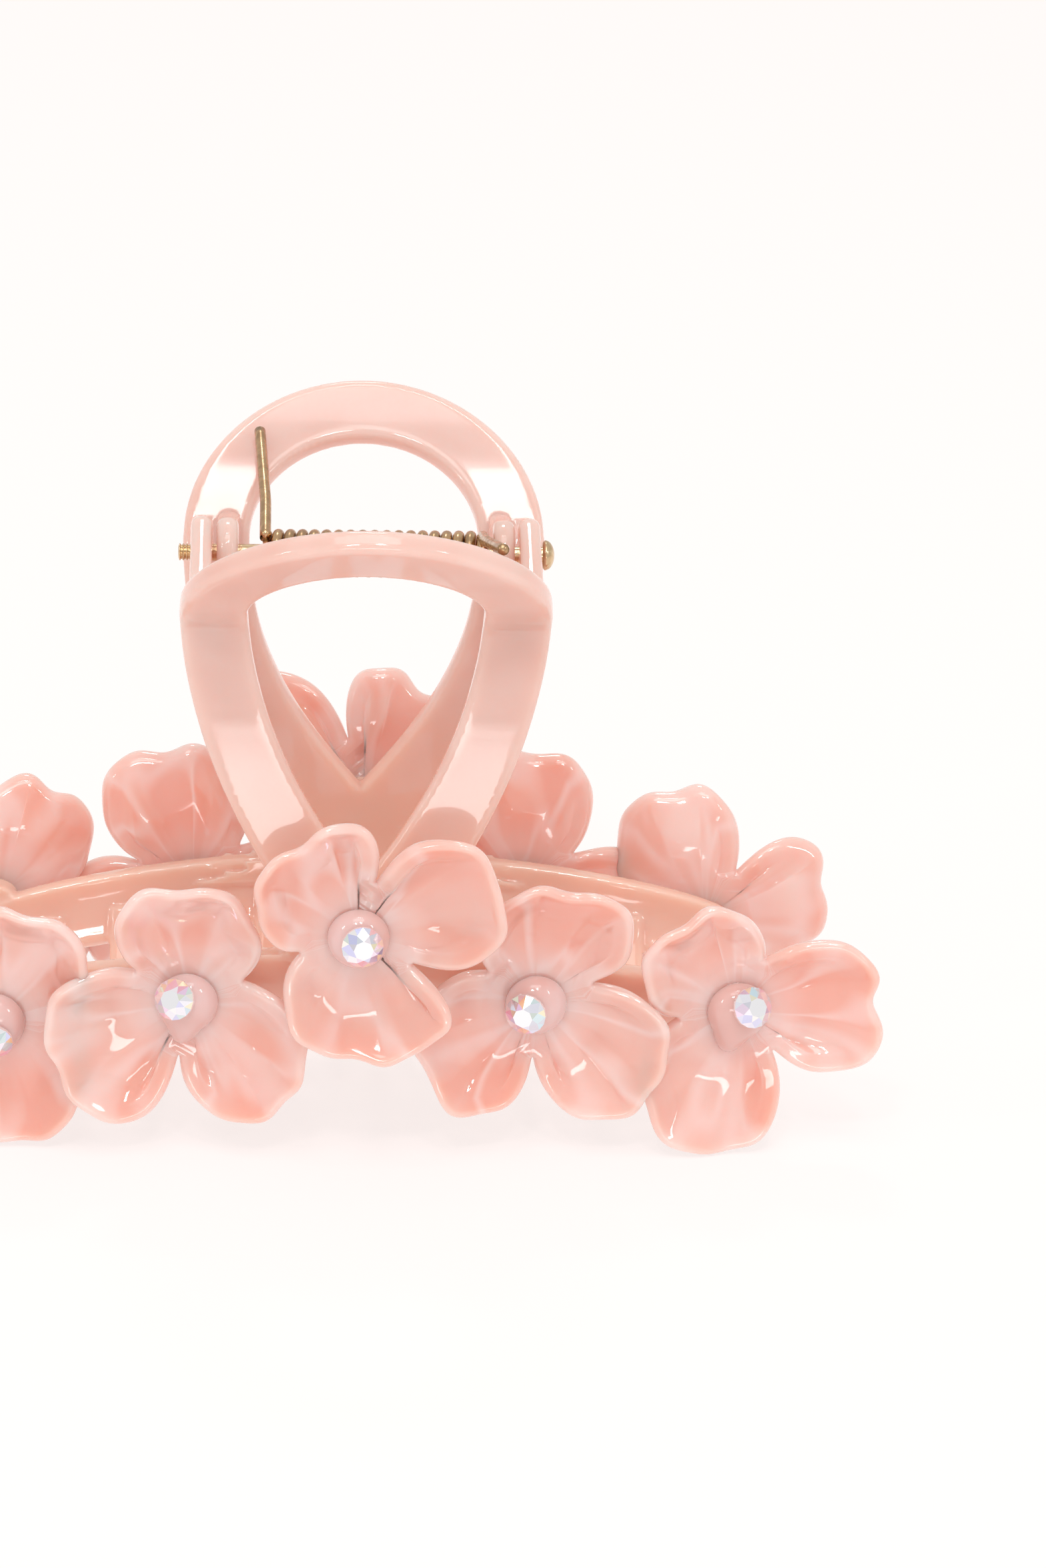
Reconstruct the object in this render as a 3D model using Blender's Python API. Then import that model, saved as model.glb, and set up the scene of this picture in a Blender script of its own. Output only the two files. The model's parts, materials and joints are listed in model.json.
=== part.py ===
"""Claw clip with flowers: two sprung jaws on one hinge pin.

X runs along the hinge, +Z is up and the front jaw is on the -Y side. The clip stands on its lowest
petals at z = 0, handles up. Both jaws are drawn in one jaw frame, which has its origin on the hinge
axis and -Y pointing outwards; the back jaw's frame is turned half a turn about Z.
"""

import math

import bpy
import numpy as np
from mathutils import Matrix, Vector

MM = 0.001

# Clearances between separate pieces.
FIT_GAP = 0.3 * MM
EAR_GAP = 0.45 * MM

# Handle loop, measured in the surface of the bent plate.
LOOP_OUTER_RADIUS = 19.4 * MM
LOOP_BAR_WIDTH = 7.1 * MM
LOOP_OPENING_BELOW = 30.4 * MM  # from the arch's centre to the point of the opening
LOOP_TAPER_LENGTH = 42.3 * MM  # where the outer sides would meet
LOOP_FOOT_BELOW = 40.5 * MM
PLATE_THICKNESS = 2.6 * MM
PLATE_EDGE_RADIUS = 0.8 * MM

# Side profile of the plate: its lean outwards going up, at distances along it from the arch's centre.
PROFILE_START = (10.75 * MM, -2.35 * MM)  # out from and above the hinge axis
PROFILE_LEAN = (
    (-52.0 * MM, 40.0),
    (-40.0 * MM, 12.0),
    (-33.0 * MM, -3.0),
    (-26.0 * MM, -14.0),
    (-14.0 * MM, -12.0),
    (-6.0 * MM, 2.0),
    (4.0 * MM, 47.5),
    (20.0 * MM, 47.5),
)

# Band that carries the flowers and the teeth.
BAND_HALF_LENGTH = 44.5 * MM
BAND_HEIGHT = 7.8 * MM
BAND_THICKNESS = 2.2 * MM
BAND_TOP_OUT = 13.4 * MM
BAND_TOP_BELOW = 40.0 * MM
BAND_PLAN_BOW = 3.4 * MM  # how far its ends come in
BAND_DROP = 5.6 * MM  # how far its ends hang lower
BAND_LEAN = (3.0, 46.0)  # degrees inwards at its top and its bottom edge

# Teeth.
TOOTH_PITCH = 8.0 * MM
TOOTH_END_ROOM = 4.5 * MM  # bare band at each end
TOOTH_WIDTH = 3.1 * MM
TOOTH_TIP_WIDTH = 1.7 * MM
TOOTH_THICKNESS = 2.3 * MM
TOOTH_PAD_DROP = 3.8 * MM  # the teeth begin this far below the band's top edge
TOOTH_PAD_RISE = 0.55 * MM  # off the band's inner face
TOOTH_THINNING = 0.45
TOOTH_TIP_BELOW = 57.2 * MM
TOOTH_TIP_PAST = 1.2 * MM  # past the middle plane, between the other jaw's teeth

# Stem's foot, which spreads from the loop's point into the band.
WEB_HALF_WIDTH = 6.2 * MM
WEB_SPREAD = 12.0 * MM
WEB_HEIGHT = 8.0 * MM
WEB_ABOVE_FOOT = 6.5 * MM
WEB_INSET = 0.15 * MM  # its faces lie this far under the loop's

# Hinge.
PIN_DIAMETER = 1.8 * MM
PIN_HEAD_DIAMETER = 3.2 * MM
PIN_HEAD_THICKNESS = 1.25 * MM
PIN_TAIL = 1.3 * MM
PIN_GROOVES = 3
EAR_THICKNESS = 2.3 * MM
EAR_RADIUS = 3.9 * MM
EARS_INSET = 0.95 * MM  # of the outer ears from the loop's outer side
EAR_ROOT_TOP = (11.2 * MM, 0.6 * MM)  # out from and above the hinge axis, inside the side bars
EAR_ROOT_WAIST = (10.4 * MM, -1.0 * MM)
EAR_ROOT_FOOT = (9.4 * MM, -8.0 * MM)

# Torsion spring.
WIRE_DIAMETER = 1.2 * MM
COIL_PLAY = 0.45 * MM  # between the coil and the pin
COIL_SPACING = 0.07 * MM  # between its turns
COIL_END_ROOM = 0.4 * MM  # between its end and an ear
COIL_SHIFT = 0.9 * MM
LEG_TIP_DROP = 7.2 * MM  # the legs end this far below the handles' tops
LEG_SPLAY = (0.7 * MM, 1.4 * MM)  # sideways, of the back leg and the front leg

# Flowers.
PETAL_THICKNESS = 1.8 * MM
PETAL_CUP = 21.0  # degrees
FLAT_ROOM = 1.9 * MM  # flat part of a flower round its dome
NOTCH_HALF_ANGLE = math.radians(2.5)  # of the gap between two petals
BOSS_DIAMETER = 5.0 * MM
BOSS_LENGTH = 1.5 * MM
BOSS_ROOT = 1.2 * MM  # inside the band
DOME_RADIUS = 3.3 * MM
DOME_HEIGHT = 2.5 * MM
DOME_TAIL = 1.5 * MM
STONE_DIAMETER = 4.4 * MM
STONE_TABLE = 2.0 * MM
STONE_GIRDLE = 0.5 * MM
STONE_HEIGHT = 1.5 * MM
STONE_SIDES = 12

# The flowers' pitch along the band is their unit: a jaw's two end flowers are about two pitches out.
FLOWER_END_ROOM = 4.5 * MM  # from the second pitch to the band's end

# One row for each flower of a jaw, from its -X end to its +X end: place along the band and drop
# below its top edge in pitches, stand-off added to the boss, turn of its face, and the three petals.
# A petal is its direction, its reach and its half-width, both in pitches. A stone is how far it
# leans off its dome, and towards where. A tail is the direction of the dome's point, on the domes
# that have one.
FLOWERS = (
    {
        "along": -1.94,
        "drop": 0.17214,
        "proud": 0.0 * MM,
        "turn": -6.0,
        "petals": ((71, 0.76, 0.29), (170, 0.71, 0.345), (288, 0.7075, 0.305)),
        "stone": (16.0, 280.0),
        "tail": None,
    },
    {
        "along": -0.92,
        "drop": 0.17213,
        "proud": 0.0 * MM,
        "turn": -3.0,
        "petals": ((90, 0.74, 0.38), (209, 0.8, 0.41), (314, 0.77, 0.35)),
        "stone": (28.0, 130.0),
        "tail": 262.0,
    },
    {
        "along": -0.025,
        "drop": -0.23504,
        "proud": 2.0 * MM,
        "turn": 0.0,
        "petals": ((27, 0.85, 0.38), (121, 0.685, 0.36), (274, 0.7, 0.42)),
        "stone": (7.0, 40.0),
        "tail": None,
    },
    {
        "along": 0.92,
        "drop": 0.17213,
        "proud": 0.0 * MM,
        "turn": 3.0,
        "petals": ((75, 0.76, 0.39), (214, 0.73, 0.37), (323, 0.8, 0.38)),
        "stone": (20.0, 175.0),
        "tail": None,
    },
    {
        "along": 2.0,
        "drop": 0.06377,
        "proud": 0.0 * MM,
        "turn": 6.0,
        "petals": ((5, 0.775, 0.395), (122, 0.695, 0.34), (254, 0.825, 0.325)),
        "stone": (28.0, 54.0),
        "tail": 255.0,
    },
)

# Colours are linear RGB.
MATERIALS = {
    "jaw_resin": ((0.86, 0.55, 0.49), 0.22, 0.0),
    "petal_resin": ((0.88, 0.45, 0.37), 0.16, 0.0),
    "dome_resin": ((0.84, 0.52, 0.56), 0.14, 0.0),
    "gold": ((0.72, 0.52, 0.29), 0.25, 1.0),
    "copper_wire": ((0.55, 0.30, 0.18), 0.3, 1.0),
    "crystal": ((0.82, 0.80, 0.92), 0.05, 0.0),
}

LOOP_INNER_RADIUS = LOOP_OUTER_RADIUS - LOOP_BAR_WIDTH
EARS_OUTSIDE = LOOP_OUTER_RADIUS - EARS_INSET
OUTER_EAR_FACE = EARS_OUTSIDE - EAR_THICKNESS
INNER_EAR_FACE = OUTER_EAR_FACE - EAR_GAP - EAR_THICKNESS
PIN_BORE = PIN_DIAMETER + 2 * FIT_GAP
COIL_RADIUS = PIN_DIAMETER / 2 + COIL_PLAY + WIRE_DIAMETER / 2  # of the wire's middle
COIL_PITCH = WIRE_DIAMETER + COIL_SPACING
COIL_SPACE = INNER_EAR_FACE - COIL_END_ROOM - WIRE_DIAMETER / 2
COIL_TURNS = int(2 * (COIL_SPACE - COIL_SHIFT) / COIL_PITCH)
FLOWER_FLAT_RADIUS = DOME_RADIUS + FLAT_ROOM
FLOWER_PITCH = (BAND_HALF_LENGTH - FLOWER_END_ROOM) / 2
TOOTH_COUNT = 2 * int((BAND_HALF_LENGTH - TOOTH_END_ROOM) / TOOTH_PITCH + 1e-6)


def smooth_table(pairs, at):
    """A cubic ease between the pairs' values, flat at each pair."""
    places, values = np.array(pairs).T
    at = np.clip(at, places[0], places[-1])
    step = np.clip(np.searchsorted(places, at) - 1, 0, len(places) - 2)
    part = (at - places[step]) / (places[step + 1] - places[step])
    return values[step] + (values[step + 1] - values[step]) * part**2 * (3 - 2 * part)


def plate_point(along):
    """Where the plate's middle surface is at a distance along it: out, up, and its lean in radians."""
    along = np.asarray(along, float)
    fine = np.linspace(PROFILE_LEAN[0][0], 22.0 * MM, 1200)
    lean = np.radians(smooth_table(PROFILE_LEAN, fine))
    step = fine[1] - fine[0]
    out = np.cumsum(np.sin(lean)) * step
    up = np.cumsum(np.cos(lean)) * step
    out += PROFILE_START[0] - np.interp(0, fine, out)
    up += PROFILE_START[1] - np.interp(0, fine, up)
    return (
        np.interp(along, fine, out),
        np.interp(along, fine, up),
        np.interp(along, fine, lean),
    )


def jaw_points(across, out, up):
    """Points of the jaw frame, which points -Y outwards."""
    return np.stack(np.broadcast_arrays(across, -np.asarray(out), up), -1)


def rounded_section(corner_share, corner_steps=2):
    """A rounded rectangle in -1..1 by -1..1. corner_share is the corner radius over each half-size."""
    points = []
    for quarter in range(4):
        middle = math.radians(90 * quarter + 45)
        signs = (math.copysign(1, math.cos(middle)), math.copysign(1, math.sin(middle)))
        for step in range(corner_steps + 1):
            angle = math.radians(90 * quarter + 90 * step / corner_steps)
            points.append(
                (
                    signs[0] * (1 - corner_share[0]) + corner_share[0] * math.cos(angle),
                    signs[1] * (1 - corner_share[1]) + corner_share[1] * math.sin(angle),
                )
            )
    return np.array(points)


def loft_faces(sections, around, ring):
    faces = []
    for i in range(sections if ring else sections - 1):
        for j in range(around):
            a, b = i * around, ((i + 1) % sections) * around
            k = (j + 1) % around
            faces.append((a + j, a + k, b + k, b + j))
    if not ring:
        faces.append(tuple(range(around))[::-1])
        faces.append(tuple(range((sections - 1) * around, sections * around)))
    return faces


def mesh_of(name, points, faces):
    """A mesh with its faces pointing out, whichever way the points run round."""
    mesh = bpy.data.meshes.new(name)
    mesh.from_pydata([tuple(p) for p in np.asarray(points).reshape(-1, 3)], [], faces)
    volume = 0.0
    for polygon in mesh.polygons:
        corners = [mesh.vertices[i].co for i in polygon.vertices]
        for b, c in zip(corners[1:-1], corners[2:]):
            volume += corners[0].dot(b.cross(c))
    if volume < 0:
        mesh.flip_normals()
    return mesh


def loft(name, points, ring=False):
    """A closed mesh through rows of points. The points have shape (sections, around, 3)."""
    return mesh_of(name, points, loft_faces(points.shape[0], points.shape[1], ring))


def add_object(name, mesh, parent=None, material=None):
    obj = bpy.data.objects.new(name, mesh)
    bpy.context.scene.collection.objects.link(obj)
    obj.parent = parent
    if material:
        mesh.materials.append(material_of(material, name))
        mesh.shade_smooth()
        mesh.set_sharp_from_angle(angle=math.radians(40))
    return obj


def material_of(finish, name):
    colour, roughness, metallic = MATERIALS[finish]
    material = bpy.data.materials.new(f"{name}_{finish}")
    material.use_nodes = True
    shader = material.node_tree.nodes["Principled BSDF"]
    shader.inputs["Base Color"].default_value = (*colour, 1)
    shader.inputs["Roughness"].default_value = roughness
    shader.inputs["Metallic"].default_value = metallic
    return material


def add_frame(name, turn):
    """An empty on the hinge axis. Its height is set once the flowers are made."""
    frame = bpy.data.objects.new(name, None)
    frame.rotation_euler.z = turn
    bpy.context.scene.collection.objects.link(frame)
    return frame


def helper(name, mesh, group):
    """A shape that only a Boolean uses."""
    obj = bpy.data.objects.new(name, mesh)
    group.objects.link(obj)
    obj.hide_render = True
    obj.display_type = "WIRE"
    return obj


# Jaw mouldings


def handle_loop():
    """The loop's bar: an arch of two concentric half circles, then sides that taper to a point."""
    arch = np.linspace(0, math.pi, 17)
    taper = np.linspace(0, 1, 11)[1:]
    inner_down = LOOP_OPENING_BELOW * taper
    inner_wide = LOOP_INNER_RADIUS * (1 - taper**2)
    outer_down = LOOP_FOOT_BELOW * taper
    outer_wide = LOOP_OUTER_RADIUS * (1 - (outer_down / LOOP_TAPER_LENGTH) ** 2)
    outer_wide[-1] = 0
    left = slice(-2, None, -1)
    inner_x = np.concatenate(
        [LOOP_INNER_RADIUS * np.cos(arch), -inner_wide, inner_wide[left]]
    )
    outer_x = np.concatenate(
        [LOOP_OUTER_RADIUS * np.cos(arch), -outer_wide, outer_wide[left]]
    )
    inner_s = np.concatenate(
        [LOOP_INNER_RADIUS * np.sin(arch), -inner_down, -inner_down[left]]
    )
    outer_s = np.concatenate(
        [LOOP_OUTER_RADIUS * np.sin(arch), -outer_down, -outer_down[left]]
    )
    section = rounded_section(
        (2 * PLATE_EDGE_RADIUS / LOOP_BAR_WIDTH, 2 * PLATE_EDGE_RADIUS / PLATE_THICKNESS)
    )
    blend = (section[:, 0] + 1) / 2
    across = inner_x[:, None] + (outer_x - inner_x)[:, None] * blend
    along = inner_s[:, None] + (outer_s - inner_s)[:, None] * blend
    out, up, lean = plate_point(along)
    offset = section[:, 1] * PLATE_THICKNESS / 2
    points = jaw_points(across, out + offset * np.cos(lean), up - offset * np.sin(lean))
    return loft("loop", points, ring=True)


def band_top(across):
    """The band's top edge: how far out it is and how far up."""
    share = (np.asarray(across) / BAND_HALF_LENGTH) ** 2
    return BAND_TOP_OUT - BAND_PLAN_BOW * share, -BAND_TOP_BELOW - BAND_DROP * share


def band_point(across, down):
    """The band's middle surface, at a distance down its section: out, up and lean in radians."""
    fine = np.linspace(0, BAND_HEIGHT, 80)
    lean = np.radians(BAND_LEAN[0] + (BAND_LEAN[1] - BAND_LEAN[0]) * fine / BAND_HEIGHT)
    inwards = np.cumsum(np.sin(lean)) * (fine[1] - fine[0])
    below = np.cumsum(np.cos(lean)) * (fine[1] - fine[0])
    top_out, top_up = band_top(across)
    return (
        top_out - np.interp(down, fine, inwards),
        top_up - np.interp(down, fine, below),
        np.interp(down, fine, lean),
    )


def band():
    """The curved strip, whose ends round off in height and in thickness."""
    turn = np.linspace(-1, 1, 25)
    across = BAND_HALF_LENGTH * np.sin(turn * math.pi / 2)
    share = np.sqrt(np.maximum(1 - np.abs(np.sin(turn * math.pi / 2)) ** 14, 0.05))
    section = rounded_section((0.25, 0.75))
    middle = 0.5 * BAND_HEIGHT
    down = middle + section[:, 0] * share[:, None] * 0.5 * BAND_HEIGHT
    out, up, lean = band_point(across[:, None], down)
    offset = section[:, 1] * share[:, None] * BAND_THICKNESS / 2
    points = jaw_points(
        across[:, None], out + offset * np.cos(lean), up - offset * np.sin(lean)
    )
    return loft("band", points)


def foot_web():
    """The stem's foot, which spreads from the loop's point into the band."""
    level = np.linspace(0, 1, 7)
    half_width = WEB_HALF_WIDTH + WEB_SPREAD * level**3.2
    down = WEB_ABOVE_FOOT - LOOP_FOOT_BELOW - level * WEB_HEIGHT
    section = rounded_section((0.1, 2 * PLATE_EDGE_RADIUS / PLATE_THICKNESS))
    out, up, lean = plate_point(down)
    across = section[:, 0] * half_width[:, None]
    bow = BAND_PLAN_BOW * (across / BAND_HALF_LENGTH) ** 2
    offset = section[:, 1] * (PLATE_THICKNESS / 2 - WEB_INSET)
    points = jaw_points(
        across,
        out[:, None] - bow + offset * np.cos(lean)[:, None],
        up[:, None] - offset * np.sin(lean)[:, None],
    )
    return loft("web", points)


def tooth(across):
    """A tooth: it starts as a pad on the band's inner face and curves in to its tip."""
    root = np.linspace(TOOTH_PAD_DROP, BAND_HEIGHT, 4)
    out, up, lean = band_point(across, root)
    out = out - TOOTH_PAD_RISE * np.cos(lean)
    up = up + TOOTH_PAD_RISE * np.sin(lean)
    tip = np.array((-TOOTH_TIP_PAST, -TOOTH_TIP_BELOW))
    start = np.array((out[-1], up[-1]))
    reach = np.linalg.norm(tip - start)
    start_pull = start + 0.4 * reach * np.array((-math.sin(lean[-1]), -math.cos(lean[-1])))
    tip_pull = tip + 0.35 * reach * np.array((math.sin(0.9), math.cos(0.9)))
    t = np.linspace(0, 1, 6)[1:, None]
    curve = (
        (1 - t) ** 3 * start
        + 3 * (1 - t) ** 2 * t * start_pull
        + 3 * (1 - t) * t**2 * tip_pull
        + t**3 * tip
    )
    path = np.concatenate([np.stack([out, up], -1), curve])
    run = np.gradient(path, axis=0)
    run /= np.linalg.norm(run, axis=1)[:, None]
    share = np.linspace(0, 1, len(path))
    width = TOOTH_WIDTH + (TOOTH_TIP_WIDTH - TOOTH_WIDTH) * share**1.6
    thick = TOOTH_THICKNESS * (1 - TOOTH_THINNING * share)
    section = rounded_section((0.35, 0.45), 1)
    side = section[:, 0] * width[:, None] / 2
    offset = section[:, 1] * thick[:, None] / 2
    points = jaw_points(
        across + side,
        path[:, :1] + offset * -run[:, 1:],
        path[:, 1:] + offset * run[:, :1],
    )
    return loft("tooth", points)


def ear(inner_face, side):
    """A lug from the loop's side bar to the pin, round at its end."""
    angles = np.linspace(-math.pi / 2, math.pi / 2, 13)
    rim = [(-EAR_RADIUS * math.cos(a), EAR_RADIUS * math.sin(a)) for a in angles]
    outline = rim + [EAR_ROOT_TOP, EAR_ROOT_WAIST, EAR_ROOT_FOOT]
    near, far = side * inner_face, side * (inner_face + EAR_THICKNESS)
    points = np.array([[(x, -out, up) for out, up in outline] for x in (near, far)])
    return loft("ear", points)


def cylinder_y(radius, start, end, across, up, sides=16):
    """A round bar along Y from start to end, both distances out from the hinge axis."""
    angles = np.linspace(0, 2 * math.pi, sides, endpoint=False)
    rim = np.stack([across + radius * np.cos(angles), up + radius * np.sin(angles)], -1)
    points = np.array([[(x, -out, z) for x, z in rim] for out in (start, end)])
    return loft("bar", points)


def pin_bore():
    angles = np.linspace(0, 2 * math.pi, 24, endpoint=False)
    half = EARS_OUTSIDE + 2 * MM
    points = np.array(
        [
            [(x, PIN_BORE / 2 * math.cos(a), PIN_BORE / 2 * math.sin(a)) for a in angles]
            for x in (-half, half)
        ]
    )
    return loft("bore", points)


def tooth_places():
    """Half a pitch off the other jaw's, which are the same places seen from behind."""
    first = -(TOOTH_COUNT / 2) * TOOTH_PITCH + TOOTH_PITCH / 4
    return [first + i * TOOTH_PITCH for i in range(TOOTH_COUNT)]


def add_jaw(name, frame, ear_face):
    group = bpy.data.collections.new(f"{name}_additions")
    bpy.context.scene.collection.children.link(group)
    shapes = [band(), foot_web()]
    shapes += [tooth(place) for place in tooth_places()]
    shapes += [ear(ear_face, side) for side in (-1, 1)]
    shapes += [flower_boss(flower) for flower in FLOWERS]
    for number, shape in enumerate(shapes):
        helper(f"{name}_shape_{number}", shape, group).parent = frame
    cutter = helper(f"{name}_bore", pin_bore(), bpy.context.scene.collection)
    cutter.parent = frame
    jaw = add_object(name, handle_loop(), frame, "jaw_resin")
    union = jaw.modifiers.new("moulded_together", "BOOLEAN")
    union.operand_type = "COLLECTION"
    union.collection = group
    union.operation = "UNION"
    bore = jaw.modifiers.new("pin_bore", "BOOLEAN")
    bore.object = cutter
    bore.operation = "DIFFERENCE"
    return jaw


# Hinge


def turned(name, profile, sides=16):
    """A shape turned about X. The profile is places along X and radii, from pole to pole."""
    angles = np.linspace(0, 2 * math.pi, sides, endpoint=False)
    points = [(profile[0][0], 0, 0)]
    for x, radius in profile[1:-1]:
        points += [(x, radius * math.cos(a), radius * math.sin(a)) for a in angles]
    points.append((profile[-1][0], 0, 0))
    last = len(points) - 1
    faces = []
    for j in range(sides):
        k = (j + 1) % sides
        faces.append((0, 1 + k, 1 + j))
        faces.append((last, last - sides + j, last - sides + k))
        for ring in range(len(profile) - 3):
            a = 1 + ring * sides
            faces.append((a + j, a + k, a + sides + k, a + sides + j))
    return mesh_of(name, points, faces)


def add_pin(frame):
    radius = PIN_DIAMETER / 2
    head = PIN_HEAD_DIAMETER / 2
    left = -(EARS_OUTSIDE + PIN_TAIL)
    right = EARS_OUTSIDE + FIT_GAP
    profile = [(left, 0), (left, 0.8 * radius)]
    pitch = PIN_TAIL / (PIN_GROOVES + 0.5)
    for groove in range(PIN_GROOVES):
        start = left + (groove + 0.2) * pitch
        profile += [(start, radius), (start + 0.45 * pitch, radius)]
        profile += [(start + 0.7 * pitch, 0.84 * radius)]
    profile += [(left + PIN_TAIL, radius), (right, radius), (right, 0.9 * head)]
    for angle in (10, 35, 60, 80):
        a = math.radians(angle)
        profile.append((right + PIN_HEAD_THICKNESS * math.sin(a), head * math.cos(a)))
    profile.append((right + PIN_HEAD_THICKNESS, 0))
    return add_object("hinge_pin", turned("pin", profile), frame, "gold")


def leg_tip():
    """Where a spring leg lies on a handle's inner face: out, up."""
    out, up, lean = plate_point(LOOP_OUTER_RADIUS - LEG_TIP_DROP)
    back = PLATE_THICKNESS / 2 + FIT_GAP + WIRE_DIAMETER / 2
    return out - back * math.cos(lean), up + back * math.sin(lean)


def spring_path():
    """The wire's centre line: front leg at +X, close coil, back leg at -X."""
    radius = COIL_RADIUS
    steps = 8  # to a turn
    out, up = leg_tip()
    reach = math.hypot(out, up)
    # The legs leave the coil along tangents, so each starts a quarter turn or so past its tip.
    start = math.pi / 2 - math.asin(radius / reach) + math.atan2(up, out)
    turns = COIL_TURNS + (2 * start - math.pi) / (2 * math.pi)
    half = turns * COIL_PITCH / 2
    count = round(turns * steps)
    angles = np.linspace(start, start - 2 * math.pi * turns, count + 1)
    coil = np.stack(
        [
            COIL_SHIFT - half + COIL_PITCH * (start - angles) / (2 * math.pi),
            radius * np.cos(angles),
            radius * np.sin(angles),
        ],
        -1,
    )
    back_tip = np.array((coil[0, 0] - LEG_SPLAY[0], out, up))
    front_tip = np.array((coil[-1, 0] + LEG_SPLAY[1], -out, up))
    # The legs go sideways only past the ears.
    share = np.array(((1, 1, 1), (0.5, 0.66, 0.66), (0, 0.33, 0.33)))
    back_leg = coil[0] + (back_tip - coil[0]) * share
    front_leg = coil[-1] + (front_tip - coil[-1]) * share[::-1]
    return np.concatenate([back_leg, coil, front_leg])


def swept(name, path, radius, sides=5):
    """A round wire along a path, with flat ends."""
    run = np.gradient(path, axis=0)
    run /= np.linalg.norm(run, axis=1)[:, None]
    first = np.cross(run, (1.0, 0.13, 0.07))
    first /= np.linalg.norm(first, axis=1)[:, None]
    second = np.cross(run, first)
    angles = np.linspace(0, 2 * math.pi, sides, endpoint=False)[:, None, None]
    points = path + radius * (np.cos(angles) * first + np.sin(angles) * second)
    return loft(name, points.transpose(1, 0, 2))


def add_spring(frame):
    wire = swept("spring", spring_path(), WIRE_DIAMETER / 2)
    return add_object("torsion_spring", wire, frame, "copper_wire")


# Flowers


def band_face(across, level):
    """How far out the band or the stem's outer face is at a level."""
    fine = np.linspace(0, BAND_HEIGHT, 60)
    out, up, lean = band_point(across, fine)
    face_out = out + BAND_THICKNESS / 2 * np.cos(lean)
    face_up = up - BAND_THICKNESS / 2 * np.sin(lean)
    if level > face_up[0]:
        along = np.linspace(PROFILE_LEAN[0][0], 0, 400)
        out, up, lean = plate_point(along)
        return float(np.interp(level, up, out)) + PLATE_THICKNESS / 2
    return float(np.interp(-level, -face_up, face_out))


def flower_place(flower):
    """Where a flower's middle is: across, and up from the hinge axis."""
    across = flower["along"] * FLOWER_PITCH
    return across, float(band_top(across)[1]) - flower["drop"] * FLOWER_PITCH


def flower_seat(flower):
    """How far out the boss under a flower ends."""
    return band_face(*flower_place(flower)) + BOSS_LENGTH + flower["proud"]


def flower_boss(flower):
    """The pad on the band that a flower is glued to."""
    end = flower_seat(flower)
    start = end - BOSS_LENGTH - flower["proud"] - BOSS_ROOT
    return cylinder_y(BOSS_DIAMETER / 2, start, end, *flower_place(flower))


def flower_matrix(flower):
    """From the flower's own frame, whose +Z is its face and +Y its top, to the jaw frame."""
    hub = flower_seat(flower) + FIT_GAP + PETAL_THICKNESS / 2
    across, up = flower_place(flower)
    place = Matrix.Translation((across, -hub, up))
    turn = Matrix.Rotation(math.radians(flower["turn"]), 4, "Z")
    return place @ turn @ Matrix.Rotation(math.pi / 2, 4, "X")


def petal_edge(petals, steps):
    """The outline round all three petals: each is a balloon shape, seen from the flower's centre."""
    rows = []
    directions = [math.radians(p[0]) for p in petals]
    for index, (_, reach, half_width) in enumerate(petals):
        reach, half_width = reach * FLOWER_PITCH, half_width * FLOWER_PITCH
        here = directions[index]
        after = (directions[(index + 1) % 3] - here) % (2 * math.pi) / 2
        before = (here - directions[index - 1]) % (2 * math.pi) / 2
        bulge = np.radians(np.linspace(-150, 150, steps))
        radius = half_width * (1 - 0.1 * np.exp(-((bulge / 0.33) ** 2)))
        radius *= 1 + 0.035 * np.cos(5 * bulge + index)
        centre = reach - half_width
        x = centre + radius * np.cos(bulge)
        y = radius * np.sin(bulge)
        angle, distance = np.arctan2(y, x), np.hypot(x, y)
        room = np.where(angle > 0, after, before) - NOTCH_HALF_ANGLE
        angle = angle / (1 + (np.abs(angle) / room) ** 6) ** (1 / 6)
        rows.append(np.stack([here + angle, distance], -1))
    return np.concatenate(rows)


def flower_mesh(name, petals, steps, rings):
    """A cupped disc with three petals: rings from the front's centre over the rim to the back's."""
    edge = petal_edge(petals, steps)
    angle, distance = edge[:, 0], edge[:, 1]
    share = np.concatenate([rings, [1.0], rings[::-1]])[:, None]
    side = np.concatenate([np.ones(len(rings)), [0], -np.ones(len(rings))])[:, None]
    radius = distance * share
    cup = np.maximum(radius - FLOWER_FLAT_RADIUS, 0)
    height = math.tan(math.radians(PETAL_CUP)) * cup * (0.55 + 0.45 * share)
    height = height + side * PETAL_THICKNESS / 2 * np.where(share > 0.9, 0.8, 1)
    points = np.stack([radius * np.cos(angle), radius * np.sin(angle), height], -1)
    return disc_mesh(name, points, PETAL_THICKNESS / 2)


def disc_mesh(name, points, half):
    """A closed disc through rings of points, with a middle point at the front and at the back."""
    rings, around = points.shape[:2]
    flat = [tuple(p) for p in points.reshape(-1, 3)] + [(0, 0, half), (0, 0, -half)]
    faces = []
    for j in range(around):
        k = (j + 1) % around
        faces.append((rings * around, j, k))
        faces.append((rings * around + 1, (rings - 1) * around + k, (rings - 1) * around + j))
        for i in range(rings - 1):
            a = i * around
            faces.append((a + j, a + around + j, a + around + k, a + k))
    return mesh_of(name, flat, faces)


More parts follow.
